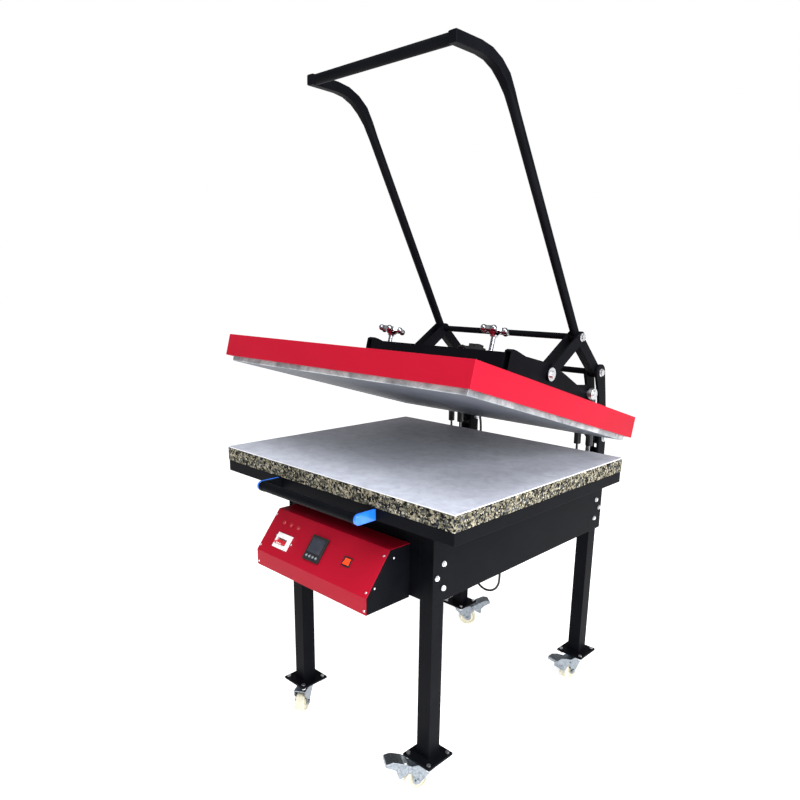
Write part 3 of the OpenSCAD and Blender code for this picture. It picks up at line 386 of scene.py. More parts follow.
def weld_tree():
    """Ripples of a fillet weld round a square tube, at every point of the incoming mesh."""
    tree, given, out = new_tree("weld_ripples", [
        ("Side", "NodeSocketFloat", 0.05), ("Bead", "NodeSocketFloat", 0.0026),
        ("Pitch", "NodeSocketFloat", 0.0034), ("Finish", "NodeSocketMaterial", None)])
    square = add(tree, "GeometryNodeCurvePrimitiveQuadrilateral",
                 {"Width": given.outputs["Side"], "Height": given.outputs["Side"]})
    spaced = add(tree, "GeometryNodeResampleCurve",
                 {"Curve": square.outputs["Curve"], "Length": given.outputs["Pitch"]}, mode="LENGTH")
    drop = add(tree, "GeometryNodeMeshIcoSphere", {"Radius": given.outputs["Bead"], "Subdivisions": 2})
    jitter = add(tree, "FunctionNodeRandomValue", {"Min": (0.8, 0.8, 0.6), "Max": (1.1, 1.1, 0.8), "Seed": 3},
                 data_type="FLOAT_VECTOR")
    ring = add(tree, "GeometryNodeInstanceOnPoints",
               {"Points": spaced.outputs["Curve"], "Instance": drop.outputs["Mesh"],
                "Scale": jitter.outputs["Value"]})
    flat = add(tree, "GeometryNodeRealizeInstances", {"Geometry": ring.outputs["Instances"]})
    legs = add(tree, "GeometryNodeInstanceOnPoints",
               {"Points": given.outputs["Geometry"], "Instance": flat.outputs["Geometry"]})
    return close_tree(tree, given, out, legs.outputs["Instances"])


def thread_tree():
    """A screw thread that climbs along Z, turned and set down at the incoming point."""
    tree, given, out = new_tree("screw_thread", [
        ("Radius", "NodeSocketFloat", 0.007), ("Length", "NodeSocketFloat", 0.02),
        ("Pitch", "NodeSocketFloat", 0.002), ("Finish", "NodeSocketMaterial", None)])
    turns = add(tree, "ShaderNodeMath", {0: given.outputs["Length"], 1: given.outputs["Pitch"]},
                operation="DIVIDE")
    helix = add(tree, "GeometryNodeCurveSpiral",
                {"Resolution": 24, "Rotations": turns.outputs[0], "Start Radius": given.outputs["Radius"],
                 "End Radius": given.outputs["Radius"], "Height": given.outputs["Length"]})
    crest = add(tree, "GeometryNodeCurvePrimitiveCircle", {"Resolution": 5, "Radius": 0.00055})
    ridge = add(tree, "GeometryNodeCurveToMesh",
                {"Curve": helix.outputs["Curve"], "Profile Curve": crest.outputs["Curve"], "Fill Caps": True})
    turn = add(tree, "GeometryNodeInputNamedAttribute", {"Name": "turn"}, data_type="FLOAT_VECTOR")
    lean = add(tree, "FunctionNodeEulerToRotation", {"Euler": turn.outputs["Attribute"]})
    placed = add(tree, "GeometryNodeInstanceOnPoints",
                 {"Points": given.outputs["Geometry"], "Instance": ridge.outputs["Mesh"],
                  "Rotation": lean.outputs["Rotation"]})
    return close_tree(tree, given, out, placed.outputs["Instances"])


def clip_tree():
    """A band clip round the lead at every incoming point, its axis along the point's turned Z."""
    tree, given, out = new_tree("lead_clips", [
        ("Lead Radius", "NodeSocketFloat", 0.005), ("Width", "NodeSocketFloat", 0.009),
        ("Finish", "NodeSocketMaterial", None)])
    snug = add(tree, "ShaderNodeMath", {0: given.outputs["Lead Radius"], 1: 0.0008}, operation="ADD")
    loop = add(tree, "GeometryNodeCurvePrimitiveCircle", {"Resolution": 24, "Radius": snug.outputs[0]})
    band = add(tree, "GeometryNodeCurvePrimitiveQuadrilateral",
               {"Width": 0.0014, "Height": given.outputs["Width"]})
    hoop = add(tree, "GeometryNodeCurveToMesh",
               {"Curve": loop.outputs["Curve"], "Profile Curve": band.outputs["Curve"]})
    turn = add(tree, "GeometryNodeInputNamedAttribute", {"Name": "turn"}, data_type="FLOAT_VECTOR")
    lean = add(tree, "FunctionNodeEulerToRotation", {"Euler": turn.outputs["Attribute"]})
    placed = add(tree, "GeometryNodeInstanceOnPoints",
                 {"Points": given.outputs["Geometry"], "Instance": hoop.outputs["Mesh"],
                  "Rotation": lean.outputs["Rotation"]})
    return close_tree(tree, given, out, placed.outputs["Instances"])


def chip_tree():
    """Foam chips that stand a little proud of a cut face, each with a tint of its own."""
    tree, given, out = new_tree("foam_chips", [
        ("Chip", "NodeSocketFloat", 0.0034), ("Density", "NodeSocketFloat", 19000.0),
        ("Seed", "NodeSocketInt", 7), ("Finish", "NodeSocketMaterial", None)])
    spots = add(tree, "GeometryNodeDistributePointsOnFaces",
                {"Mesh": given.outputs["Geometry"], "Density": given.outputs["Density"],
                 "Seed": given.outputs["Seed"]}, distribute_method="RANDOM")
    crumb = add(tree, "GeometryNodeMeshIcoSphere", {"Radius": given.outputs["Chip"], "Subdivisions": 1})
    size = add(tree, "FunctionNodeRandomValue",
               {"Min": (0.45, 0.35, 0.10), "Max": (1.25, 0.9, 0.2), "Seed": 11}, data_type="FLOAT_VECTOR")
    spread = add(tree, "GeometryNodeInstanceOnPoints",
                 {"Points": spots.outputs["Points"], "Instance": crumb.outputs["Mesh"],
                  "Rotation": spots.outputs["Rotation"], "Scale": size.outputs["Value"]})
    spin = add(tree, "FunctionNodeRandomValue",
               {"Min": (-0.1, -0.1, 0.0), "Max": (0.1, 0.1, 6.283), "Seed": 23}, data_type="FLOAT_VECTOR")
    turned = add(tree, "GeometryNodeRotateInstances",
                 {"Instances": spread.outputs["Instances"], "Rotation": spin.outputs["Value"]})
    tint = add(tree, "FunctionNodeRandomValue", {"Seed": 31}, data_type="FLOAT")
    marked = add(tree, "GeometryNodeStoreNamedAttribute",
                 {"Geometry": turned.outputs["Instances"], "Name": "chip_tint", "Value": tint.outputs[1]},
                 data_type="FLOAT", domain="INSTANCE")
    return close_tree(tree, given, out, marked.outputs["Geometry"])


def recess_shade_tree():
    """A dark cross of painted shade on a screw head at every incoming point, standing for its cross recess.
    """
    tree, given, out = new_tree("cross_recesses", [
        ("Arm", "NodeSocketFloat", 0.0042), ("Finish", "NodeSocketMaterial", None)])
    size = add(tree, "ShaderNodeCombineXYZ", {"X": given.outputs["Arm"], "Y": 0.0010, "Z": 0.0005})
    bar = add(tree, "GeometryNodeMeshCube", {"Size": size.outputs["Vector"]})
    across = add(tree, "GeometryNodeTransform", {"Geometry": bar.outputs["Mesh"],
                                                 "Rotation": (0.0, 0.0, math.pi / 2)})
    cross = add(tree, "GeometryNodeJoinGeometry", {"Geometry": bar.outputs["Mesh"]})
    tree.links.new(across.outputs["Geometry"], cross.inputs["Geometry"])
    turn = add(tree, "GeometryNodeInputNamedAttribute", {"Name": "turn"}, data_type="FLOAT_VECTOR")
    lean = add(tree, "FunctionNodeEulerToRotation", {"Euler": turn.outputs["Attribute"]})
    placed = add(tree, "GeometryNodeInstanceOnPoints",
                 {"Points": given.outputs["Geometry"], "Instance": cross.outputs["Geometry"],
                  "Rotation": lean.outputs["Rotation"]})
    return close_tree(tree, given, out, placed.outputs["Instances"])


# ------------------------------------------------------------------ finishes

def black_powder_coat(colour):
    """Polyester powder on steel, baked: a soft, slightly bluish black with a fine orange peel."""
    finish, tree, shader = blank_finish("black_powder_coated_steel", IOR=1.5, Specular_IOR_Level=0.03)
    at = add(tree, "ShaderNodeTexCoord").outputs["Object"]
    # Dust and handling show as broad, faint patches about 150 mm across
    dust = add(tree, "ShaderNodeTexNoise", {"Vector": at, "Scale": 7.0, "Detail": 5.0, "Roughness": 0.6})
    tone = add(tree, "ShaderNodeValToRGB", {"Fac": dust.outputs["Fac"]},
               stops=[(0.3, srgb(colour)), (0.62, srgb("#0d0e12")), (0.8, srgb("#131419"))])
    steer(tree, shader, "Base Color", tone.outputs["Color"])
    gloss = add(tree, "ShaderNodeMapRange", {"Value": dust.outputs["Fac"], "To Min": 0.36, "To Max": 0.5})
    steer(tree, shader, "Roughness", gloss.outputs["Result"])
    # Orange peel is about 1.5 mm across; drawn at 2.5 mm so that it shows
    peel = add(tree, "ShaderNodeTexNoise", {"Vector": at, "Scale": 400.0, "Detail": 2.0})
    bump = add(tree, "ShaderNodeBump", {"Height": peel.outputs["Fac"], "Strength": 0.16, "Distance": 0.0006})
    steer(tree, shader, "Normal", bump.outputs["Normal"])
    return finish


def red_powder_coat(colour):
    """Glossy red powder on folded sheet: even colour, a clear sheen and a slight orange peel."""
    finish, tree, shader = blank_finish("red_powder_coated_sheet", IOR=1.5, Specular_IOR_Level=0.09,
                                        Coat_Weight=0.02, Coat_Roughness=0.25)
    at = add(tree, "ShaderNodeTexCoord").outputs["Object"]
    cloud = add(tree, "ShaderNodeTexNoise", {"Vector": at, "Scale": 4.0, "Detail": 4.0})
    tone = add(tree, "ShaderNodeValToRGB", {"Fac": cloud.outputs["Fac"]},
               stops=[(0.3, srgb(colour)), (0.7, srgb("#a60e28"))])
    steer(tree, shader, "Base Color", tone.outputs["Color"])
    gloss = add(tree, "ShaderNodeMapRange", {"Value": cloud.outputs["Fac"], "To Min": 0.34, "To Max": 0.46})
    steer(tree, shader, "Roughness", gloss.outputs["Result"])
    peel = add(tree, "ShaderNodeTexNoise", {"Vector": at, "Scale": 360.0, "Detail": 2.0})
    bump = add(tree, "ShaderNodeBump", {"Height": peel.outputs["Fac"], "Strength": 0.1, "Distance": 0.0005})
    steer(tree, shader, "Normal", bump.outputs["Normal"])
    return finish


def zinc_plate(name, light, dark, rough):
    """Electroplated zinc, passivated: a cool grey metal with cloudy patches a few millimetres across."""
    finish, tree, shader = blank_finish(name, Metallic=1.0)
    at = add(tree, "ShaderNodeTexCoord").outputs["Object"]
    spangle = add(tree, "ShaderNodeTexNoise", {"Vector": at, "Scale": 160.0, "Detail": 4.0,
                                               "Roughness": 0.65})
    tone = add(tree, "ShaderNodeValToRGB", {"Fac": spangle.outputs["Fac"]},
               stops=[(0.3, srgb(dark)), (0.65, srgb(light))])
    steer(tree, shader, "Base Color", tone.outputs["Color"])
    gloss = add(tree, "ShaderNodeMapRange",
                {"Value": spangle.outputs["Fac"], "To Min": rough - 0.08, "To Max": rough + 0.12})
    steer(tree, shader, "Roughness", gloss.outputs["Result"])
    bump = add(tree, "ShaderNodeBump", {"Height": spangle.outputs["Fac"], "Strength": 0.08,
                                        "Distance": 0.0004})
    steer(tree, shader, "Normal", bump.outputs["Normal"])
    return finish


def chrome_plate():
    """Bright nickel-chrome plate, buffed: a clear mirror with faint buffing haze."""
    finish, tree, shader = blank_finish("chrome_plate", Metallic=1.0)
    at = add(tree, "ShaderNodeTexCoord").outputs["Object"]
    haze = add(tree, "ShaderNodeTexNoise", {"Vector": at, "Scale": 120.0, "Detail": 3.0})
    tone = add(tree, "ShaderNodeValToRGB", {"Fac": haze.outputs["Fac"]},
               stops=[(0.3, srgb("#84878d")), (0.7, srgb("#b0b3b9"))])
    steer(tree, shader, "Base Color", tone.outputs["Color"])
    gloss = add(tree, "ShaderNodeMapRange", {"Value": haze.outputs["Fac"], "To Min": 0.08, "To Max": 0.18})
    steer(tree, shader, "Roughness", gloss.outputs["Result"])
    return finish


def milled_aluminium():
    """Milled aluminium edge of the heating plate: bright, streaked along its length and smeared."""
    finish, tree, shader = blank_finish("milled_aluminium", Metallic=0.85)
    at = add(tree, "ShaderNodeTexCoord").outputs["Object"]
    # Cutter marks run along the edge, a millimetre or so apart
    along = add(tree, "ShaderNodeMapping", {"Vector": at, "Scale": (1.0, 1.0, 14.0)})
    marks = add(tree, "ShaderNodeTexNoise", {"Vector": along.outputs["Vector"], "Scale": 60.0, "Detail": 6.0,
                                             "Roughness": 0.7})
    smear = add(tree, "ShaderNodeTexNoise", {"Vector": at, "Scale": 9.0, "Detail": 6.0, "Roughness": 0.7,
                                             "Distortion": 0.8})
    tone = add(tree, "ShaderNodeValToRGB", {"Fac": smear.outputs["Fac"]},
               stops=[(0.32, srgb("#72777d")), (0.46, srgb("#adb1b5")), (0.6, srgb("#dcdfe1"))])
    steer(tree, shader, "Base Color", tone.outputs["Color"])
    gloss = add(tree, "ShaderNodeMapRange", {"Value": marks.outputs["Fac"], "To Min": 0.28, "To Max": 0.5})
    steer(tree, shader, "Roughness", gloss.outputs["Result"])
    bump = add(tree, "ShaderNodeBump", {"Height": marks.outputs["Fac"], "Strength": 0.2, "Distance": 0.0004})
    steer(tree, shader, "Normal", bump.outputs["Normal"])
    return finish


def coated_platen():
    """Release coating on the platen's face: an even, matt mid grey with faint rubbed bands."""
    finish, tree, shader = blank_finish("release_coated_platen", Specular_IOR_Level=0.15)
    at = add(tree, "ShaderNodeTexCoord").outputs["Object"]
    bands = add(tree, "ShaderNodeMapping", {"Vector": at, "Scale": (1.0, 7.0, 7.0)})
    rub = add(tree, "ShaderNodeTexNoise", {"Vector": bands.outputs["Vector"], "Scale": 5.0, "Detail": 7.0,
                                           "Roughness": 0.65})
    tone = add(tree, "ShaderNodeValToRGB", {"Fac": rub.outputs["Fac"]},
               stops=[(0.3, srgb("#54575f")), (0.7, srgb("#6b6e76"))])
    steer(tree, shader, "Base Color", tone.outputs["Color"])
    gloss = add(tree, "ShaderNodeMapRange", {"Value": rub.outputs["Fac"], "To Min": 0.42, "To Max": 0.6})
    steer(tree, shader, "Roughness", gloss.outputs["Result"])
    return finish


def moulded_plastic(name, colour, rough, bump_strength=0.12, **constants):
    """Injection-moulded plastic: even colour with a spark-eroded grain under half a millimetre."""
    finish, tree, shader = blank_finish(name, IOR=1.5, **constants)
    at = add(tree, "ShaderNodeTexCoord").outputs["Object"]
    grain = add(tree, "ShaderNodeTexNoise", {"Vector": at, "Scale": 900.0, "Detail": 2.0})
    broad = add(tree, "ShaderNodeTexNoise", {"Vector": at, "Scale": 30.0, "Detail": 3.0})
    base = srgb(colour)
    worn = tuple(min(1.0, c * 1.18 + 0.006) for c in base[:3]) + (1.0,)
    tone = add(tree, "ShaderNodeValToRGB", {"Fac": broad.outputs["Fac"]}, stops=[(0.35, base), (0.75, worn)])
    steer(tree, shader, "Base Color", tone.outputs["Color"])
    gloss = add(tree, "ShaderNodeMapRange",
                {"Value": broad.outputs["Fac"], "To Min": max(0.03, rough - 0.06), "To Max": rough + 0.08})
    steer(tree, shader, "Roughness", gloss.outputs["Result"])
    bump = add(tree, "ShaderNodeBump",
               {"Height": grain.outputs["Fac"], "Strength": bump_strength, "Distance": 0.0002})
    steer(tree, shader, "Normal", bump.outputs["Normal"])
    return finish


def foam_body():
    """Rebonded polyurethane foam, cut: crumbs of beige, grey, olive and black pressed together."""
    finish, tree, shader = blank_finish("rebonded_foam", Roughness=0.95, Specular_IOR_Level=0.15)
    at = add(tree, "ShaderNodeTexCoord").outputs["Object"]
    # Crumbs are 4 to 9 mm across
    crumbs = add(tree, "ShaderNodeTexVoronoi", {"Vector": at, "Scale": 150.0, "Randomness": 1.0})
    pick = add(tree, "ShaderNodeSeparateColor", {"Color": crumbs.outputs["Color"]})
    tone = add(tree, "ShaderNodeValToRGB", {"Fac": pick.outputs["Red"]},
               stops=[(0.0, srgb("#0f0f11")), (0.26, srgb("#33342f")), (0.42, srgb("#6f6b5c")),
                      (0.56, srgb("#45484a")), (0.68, srgb("#8d8673")), (0.82, srgb("#5a5748")),
                      (0.92, srgb("#a9a392"))])
    tone.color_ramp.interpolation = "CONSTANT"
    steer(tree, shader, "Base Color", tone.outputs["Color"])
    bump = add(tree, "ShaderNodeBump", {"Height": crumbs.outputs["Distance"], "Strength": 0.5,
                                        "Distance": 0.0012})
    steer(tree, shader, "Normal", bump.outputs["Normal"])
    return finish


def foam_crumb():
    """Single crumbs on the cut faces, each its own tint from light beige to black."""
    finish, tree, shader = blank_finish("foam_crumb", Roughness=0.95, Specular_IOR_Level=0.12)
    own = add(tree, "ShaderNodeAttribute", attribute_name="chip_tint")
    tone = add(tree, "ShaderNodeValToRGB", {"Fac": own.outputs["Fac"]},
               stops=[(0.0, srgb("#0c0c0e")), (0.30, srgb("#232427")), (0.42, srgb("#77715f")),
                      (0.54, srgb("#a19a85")), (0.66, srgb("#4d5258")), (0.75, srgb("#8b8570")),
                      (0.86, srgb("#4f4c38")), (0.93, srgb("#bdb7a6"))])
    tone.color_ramp.interpolation = "CONSTANT"
    steer(tree, shader, "Base Color", tone.outputs["Color"])
    return finish


def cover_cloth(colour):
    """Aluminised silicone on woven glass cloth: a cool silver grey, softly shiny, with a fine weave."""
    finish, tree, shader = blank_finish("silver_glass_cloth", Metallic=0.15, Specular_IOR_Level=0.5,
                                        Sheen_Weight=0.15)
    at = add(tree, "ShaderNodeTexCoord").outputs["Object"]
    # Thread spacing is about 0.7 mm; drawn at 2 mm so that it shows
    warp = add(tree, "ShaderNodeTexWave", {"Vector": at, "Scale": 160.0, "Distortion": 0.4, "Detail": 1.0},
               wave_type="BANDS", bands_direction="X")
    weft = add(tree, "ShaderNodeTexWave", {"Vector": at, "Scale": 160.0, "Distortion": 0.4, "Detail": 1.0},
               wave_type="BANDS", bands_direction="Y")
    weave = add(tree, "ShaderNodeMath", {0: warp.outputs["Fac"], 1: weft.outputs["Fac"]},
                operation="MULTIPLY")
    mottle = add(tree, "ShaderNodeTexNoise", {"Vector": at, "Scale": 26.0, "Detail": 6.0, "Roughness": 0.6,
                                              "Distortion": 0.6})
    tone = add(tree, "ShaderNodeValToRGB", {"Fac": mottle.outputs["Fac"]},
               stops=[(0.3, srgb("#a5aab9")), (0.5, srgb(colour)), (0.72, srgb("#c6cbd8"))])
    steer(tree, shader, "Base Color", tone.outputs["Color"])
    gloss = add(tree, "ShaderNodeMapRange", {"Value": mottle.outputs["Fac"], "To Min": 0.36, "To Max": 0.52})
    steer(tree, shader, "Roughness", gloss.outputs["Result"])
    fine = add(tree, "ShaderNodeBump", {"Height": weave.outputs[0], "Strength": 0.12, "Distance": 0.0003})
    # Creases that a flat-laid sheet keeps, 10 to 30 mm apart, run across the bed
    lie = add(tree, "ShaderNodeMapping", {"Vector": at, "Rotation": (0.0, 0.0, 0.35),
                                          "Scale": (1.0, 3.2, 1.0)})
    crease = add(tree, "ShaderNodeTexNoise", {"Vector": lie.outputs["Vector"], "Scale": 16.0, "Detail": 5.0,
                                              "Roughness": 0.55, "Distortion": 1.2})
    folds = add(tree, "ShaderNodeBump", {"Height": crease.outputs["Fac"], "Strength": 0.35,
                                         "Distance": 0.004, "Normal": fine.outputs["Normal"]})
    steer(tree, shader, "Normal", folds.outputs["Normal"])
    return finish


def white_cover_edge_painted_highlight():
    """White rim and underside of the cover, seen as its cut edge, with a fine fibrous grain: painted
    highlight for the bright line along that edge.
    """
    finish, tree, shader = blank_finish("white_needle_felt", Roughness=0.95, Sheen_Weight=0.3)
    at = add(tree, "ShaderNodeTexCoord").outputs["Object"]
    fibres = add(tree, "ShaderNodeTexNoise", {"Vector": at, "Scale": 700.0, "Detail": 5.0, "Roughness": 0.8})
    tone = add(tree, "ShaderNodeValToRGB", {"Fac": fibres.outputs["Fac"]},
               stops=[(0.3, srgb("#d9dade")), (0.7, srgb("#f4f4f6"))])
    steer(tree, shader, "Base Color", tone.outputs["Color"])
    bump = add(tree, "ShaderNodeBump", {"Height": fibres.outputs["Fac"], "Strength": 0.4, "Distance": 0.0004})
    steer(tree, shader, "Normal", bump.outputs["Normal"])
    return finish


def nylon_wheel():
    """Cast nylon tread: cream, waxy, with scuffs round the tread."""
    finish, tree, shader = blank_finish("cast_nylon", IOR=1.53, Subsurface_Weight=0.08,
                                        Subsurface_Scale=0.004)
    at = add(tree, "ShaderNodeTexCoord").outputs["Object"]
    scuff = add(tree, "ShaderNodeTexNoise", {"Vector": at, "Scale": 70.0, "Detail": 7.0, "Roughness": 0.7})
    tone = add(tree, "ShaderNodeValToRGB", {"Fac": scuff.outputs["Fac"]},
               stops=[(0.28, srgb("#aba68f")), (0.42, srgb("#cbc6b1")), (0.7, srgb("#d9d5c4"))])
    steer(tree, shader, "Base Color", tone.outputs["Color"])
    gloss = add(tree, "ShaderNodeMapRange", {"Value": scuff.outputs["Fac"], "To Min": 0.3, "To Max": 0.55})
    steer(tree, shader, "Roughness", gloss.outputs["Result"])
    return finish


def lit_lens(name, colour, glow, strength):
    """Translucent lens over a small lamp: saturated, glossy, faintly lit from inside."""
    finish, tree, shader = blank_finish(name, IOR=1.49, Roughness=0.22, Emission_Strength=strength,
                                        Emission_Color=srgb(glow))
    at = add(tree, "ShaderNodeTexCoord").outputs["Object"]
    ribs = add(tree, "ShaderNodeTexNoise", {"Vector": at, "Scale": 1500.0, "Detail": 2.0})
    tone = add(tree, "ShaderNodeValToRGB", {"Fac": ribs.outputs["Fac"]},
               stops=[(0.35, srgb(colour)), (0.7, srgb(glow))])
    steer(tree, shader, "Base Color", tone.outputs["Color"])
    return finish


def ceramic_blanket():
    """Ceramic fibre blanket: off-white, matt and lumpy."""
    finish, tree, shader = blank_finish("ceramic_fibre_blanket", Roughness=1.0)
    at = add(tree, "ShaderNodeTexCoord").outputs["Object"]
    tufts = add(tree, "ShaderNodeTexNoise", {"Vector": at, "Scale": 90.0, "Detail": 6.0, "Roughness": 0.7})
    tone = add(tree, "ShaderNodeValToRGB", {"Fac": tufts.outputs["Fac"]},
               stops=[(0.3, srgb("#cfcabd")), (0.7, srgb("#efece4"))])
    steer(tree, shader, "Base Color", tone.outputs["Color"])
    bump = add(tree, "ShaderNodeBump", {"Height": tufts.outputs["Fac"], "Strength": 0.6, "Distance": 0.002})
    steer(tree, shader, "Normal", bump.outputs["Normal"])
    return finish


FINISH = {}


def make_finishes(colours):
    """Every finish of the press, by the name that the pieces ask for."""
    FINISH.update({
        "black": black_powder_coat(colours.black),
        "red": red_powder_coat(colours.red),
        "bolt": zinc_plate("bright_zinc_plated_bolt", "#f2f3f5", "#cdd0d4", 0.34),
        "zinc": zinc_plate("zinc_plated_stamping", "#a0a7ae", "#666e76", 0.34),
        "chrome": chrome_plate(),
        "plate_edge": milled_aluminium(),
        "platen": coated_platen(),
        "black_plastic": moulded_plastic("black_abs", "#0d0e11", 0.42),
        "white_plastic": moulded_plastic("white_polyamide", "#eceef0", 0.35),
        "red_plastic": moulded_plastic("red_polyamide", "#c21424", 0.35),
        "grey_plastic": moulded_plastic("grey_rubber_key", "#5d636b", 0.5),
        "cream_plastic": moulded_plastic("cream_phenolic", "#c9c2ae", 0.5),
        # Handle covers: glossy blue plastic with a faint blue emission, a painted glow, as the covers hold no
        # lamp
        "blue_plastic_with_painted_glow": moulded_plastic("glossy_blue_abs", colours.caps, 0.22, 0.04, Coat_Weight=0.3,
                                        Emission_Strength=0.06, Emission_Color=srgb("#2b8cff")),
        "strut": moulded_plastic("satin_black_paint", "#15161a", 0.3, 0.03),
        "rubber": moulded_plastic("black_rubber_sheath", "#0c0c0e", 0.55, 0.3),
        "screen": moulded_plastic("tinted_display_window", "#262b39", 0.12, 0.0, Coat_Weight=0.5),
        "ink": moulded_plastic("pale_printed_mark", "#c9d0d8", 0.5),
        # Dark finish: the breaker's own pole seam, and painted shade in the panel screws' cross recesses
        "seam_and_painted_recess_shade": moulded_plastic("dark_recess", "#2b2d31", 0.6),
        "foam": foam_body(),
        "crumb": foam_crumb(),
        "cloth": cover_cloth(colours.cloth),
        "cover_rim_highlight": white_cover_edge_painted_highlight(),
        "nylon": nylon_wheel(),
        "lamp": lit_lens("red_lamp_lens", "#7d0c16", "#c9323c", 0.05),
        "rocker": lit_lens("orange_lit_rocker", "#e0321a", "#ff4a1c", 0.55),
        "blanket": ceramic_blanket(),
        "sheath": zinc_plate("oxidised_heater_sheath", "#77706a", "#55504c", 0.5),
    })


# ------------------------------------------------------------------ operators

class PRESS_OT_stage(bpy.types.Operator):
    """Floor, studio light and camera"""
    bl_idname = "press.stage"
    bl_label = "Stage"

    def execute(self, context):
        scene = context.scene
        scene.view_settings.view_transform = "Standard"
        paper, tree, shader = blank_finish("matt_studio_paper", Roughness=0.9, Specular_IOR_Level=0.1)
        at = add(tree, "ShaderNodeTexCoord").outputs["Object"]
        pulp = add(tree, "ShaderNodeTexNoise", {"Vector": at, "Scale": 2.0, "Detail": 3.0})
        tone = add(tree, "ShaderNodeValToRGB", {"Fac": pulp.outputs["Fac"]},
                   stops=[(0.3, srgb("#f4f4f4")), (0.7, srgb("#f8f8f8"))])
        steer(tree, shader, "Base Color", tone.outputs["Color"])
        shader.inputs["Emission Color"].default_value = (1.0, 1.0, 1.0, 1.0)
        shader.inputs["Emission Strength"].default_value = 0.76
        bm = bmesh.new()
        bmesh.ops.create_circle(bm, cap_ends=True, radius=60.0, segments=96)
        sheet = bpy.data.meshes.new("studio_floor")
        bm.to_mesh(sheet)
        bm.free()
        sheet.materials.append(paper)
        floor = bpy.data.objects.new("studio_floor", sheet)
        scene.collection.objects.link(floor)

        world = bpy.data.worlds.new("studio")
        world.use_nodes = True
        sky = world.node_tree
        glow = sky.nodes["Background"]
        seen = add(sky, "ShaderNodeLightPath")
        level = add(sky, "ShaderNodeMapRange", {"Value": seen.outputs["Is Camera Ray"],
                                                "To Min": 0.3, "To Max": 1.0})
        glow.inputs["Color"].default_value = (1.0, 1.0, 1.0, 1.0)
        sky.links.new(level.outputs["Result"], glow.inputs["Strength"])
        scene.world = world

        # Key from the right, fill from the left front, a broad one overhead
        for name, power, size, place, aim in (
                ("key", 205.0, 2.2, (3.6, -0.7, 2.2), (0, -0.1, 0.95)),
                ("fill", 8.0, 2.6, (-2.2, -3.6, 2.0), (0, -0.3, 0.8)),
                ("top", 140.0, 2.4, (0.9, -1.5, 4.0), (0, -0.2, 0.9))):
            lamp = bpy.data.lights.new(name, "AREA")
            lamp.energy, lamp.size = power, size
            holder = bpy.data.objects.new(name, lamp)
            holder.location = place
            holder.rotation_euler = (Vector(aim) - Vector(place)).to_track_quat("-Z", "Y").to_euler()
            scene.collection.objects.link(holder)

        lens = bpy.data.cameras.new("camera")
        lens.sensor_width, lens.lens = 36.0, 30.16
        lens.shift_x, lens.shift_y = -0.0355, 0.0798
        lens.clip_start, lens.clip_end = 0.05, 200.0
        camera = bpy.data.objects.new("camera", lens)
        azimuth, drop, roll = math.radians(42.25), math.radians(14.3), math.radians(1.27)
        back = Vector((math.sin(azimuth) * math.cos(drop), -math.cos(azimuth) * math.cos(drop),
                       math.sin(drop)))
        level_right = Vector((math.cos(azimuth), math.sin(azimuth), 0.0))
        level_up = back.cross(level_right)
        right = level_right * math.cos(roll) + level_up * math.sin(roll)
        up = level_up * math.cos(roll) - level_right * math.sin(roll)
        turn = Matrix((right, up, back)).transposed().to_4x4()
        camera.matrix_world = Matrix.Translation((1.5009, -1.7216 + SHIFT_Y, 1.4997)) @ turn
        scene.collection.objects.link(camera)
        scene.camera = camera
        return {"FINISHED"}


class PRESS_OT_finishes(bpy.types.Operator):
    """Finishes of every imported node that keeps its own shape"""
    bl_idname = "press.finishes"
    bl_label = "Finishes"

    def execute(self, context):
        make_finishes(context.scene.press_colours)
        coat_nodes(["lever_tie"], FINISH["black"])
        coat_nodes(["contactor"], FINISH["cream_plastic"])
        coat_nodes(["cable_gland", "terminal_block"], FINISH["black_plastic"])
        coat_nodes(["rail_bolts", "caster_bolts", "control_box_screws", "lever_bolts", "head_pins",
                    "base_pivot_bolts", "head_studs"], FINISH["bolt"])
        coat_nodes(["slide_channels", "slide_runners", "caster_plates"], FINISH["zinc"])
        coat_nodes(["pressure_wheel_left", "pressure_wheel_right", "strut_rods"], FINISH["chrome"])
        coat_nodes(["heater_elements"], FINISH["sheath"])
        coat_nodes(["insulation_blanket"], FINISH["blanket"])
        coat_nodes(["indicator_lamps"], FINISH["lamp"])
        coat_nodes([f"controller_key_{k}" for k in (1, 2, 3, 4)], FINISH["grey_plastic"])
        coat_nodes([f"caster_wheel_{c}" for c in ("fl", "fr", "rl", "rr")], FINISH["nylon"])
        return {"FINISHED"}


class PRESS_OT_steelwork(bpy.types.Operator):
    """Black and red steelwork with its edges rounded as folding, welding and coating leave them"""
    bl_idname = "press.steelwork"
    bl_label = "Steelwork"

    def execute(self, context):
        # Square tube has corners of 1 to 2 mm; folded sheet about half a millimetre
        for node, radius in (("legs", 0.0011), ("cross_rails", 0.0008), ("side_rails", 0.0008),
                             ("columns", 0.0009), ("bed_frame", 0.0010), ("pull_handle", 0.0012),
                             ("head_yoke", 0.0010), ("front_links", 0.0008),
                             ("control_box_shell", 0.0005)):
            round_edges(node, radius, [FINISH["black"]])
        for node, radius in (("head_cover", 0.0008), ("control_box_cover", 0.0006)):
            round_edges(node, radius, [FINISH["red"]])
        round_edges("strut_cylinders", 0.0009, [FINISH["strut"], FINISH["bolt"]],
                    pick=self.eye_finish)
        return {"FINISHED"}

    @staticmethod
    def eye_finish(face):
        """Plated finish for the pale eyes at the struts' upper ends, black for the rest."""
        at = face.calc_center_median()
        return int(math.hypot(at.y - STRUT_PIN[0], at.z - STRUT_PIN[1]) < STRUT_EYE_R)


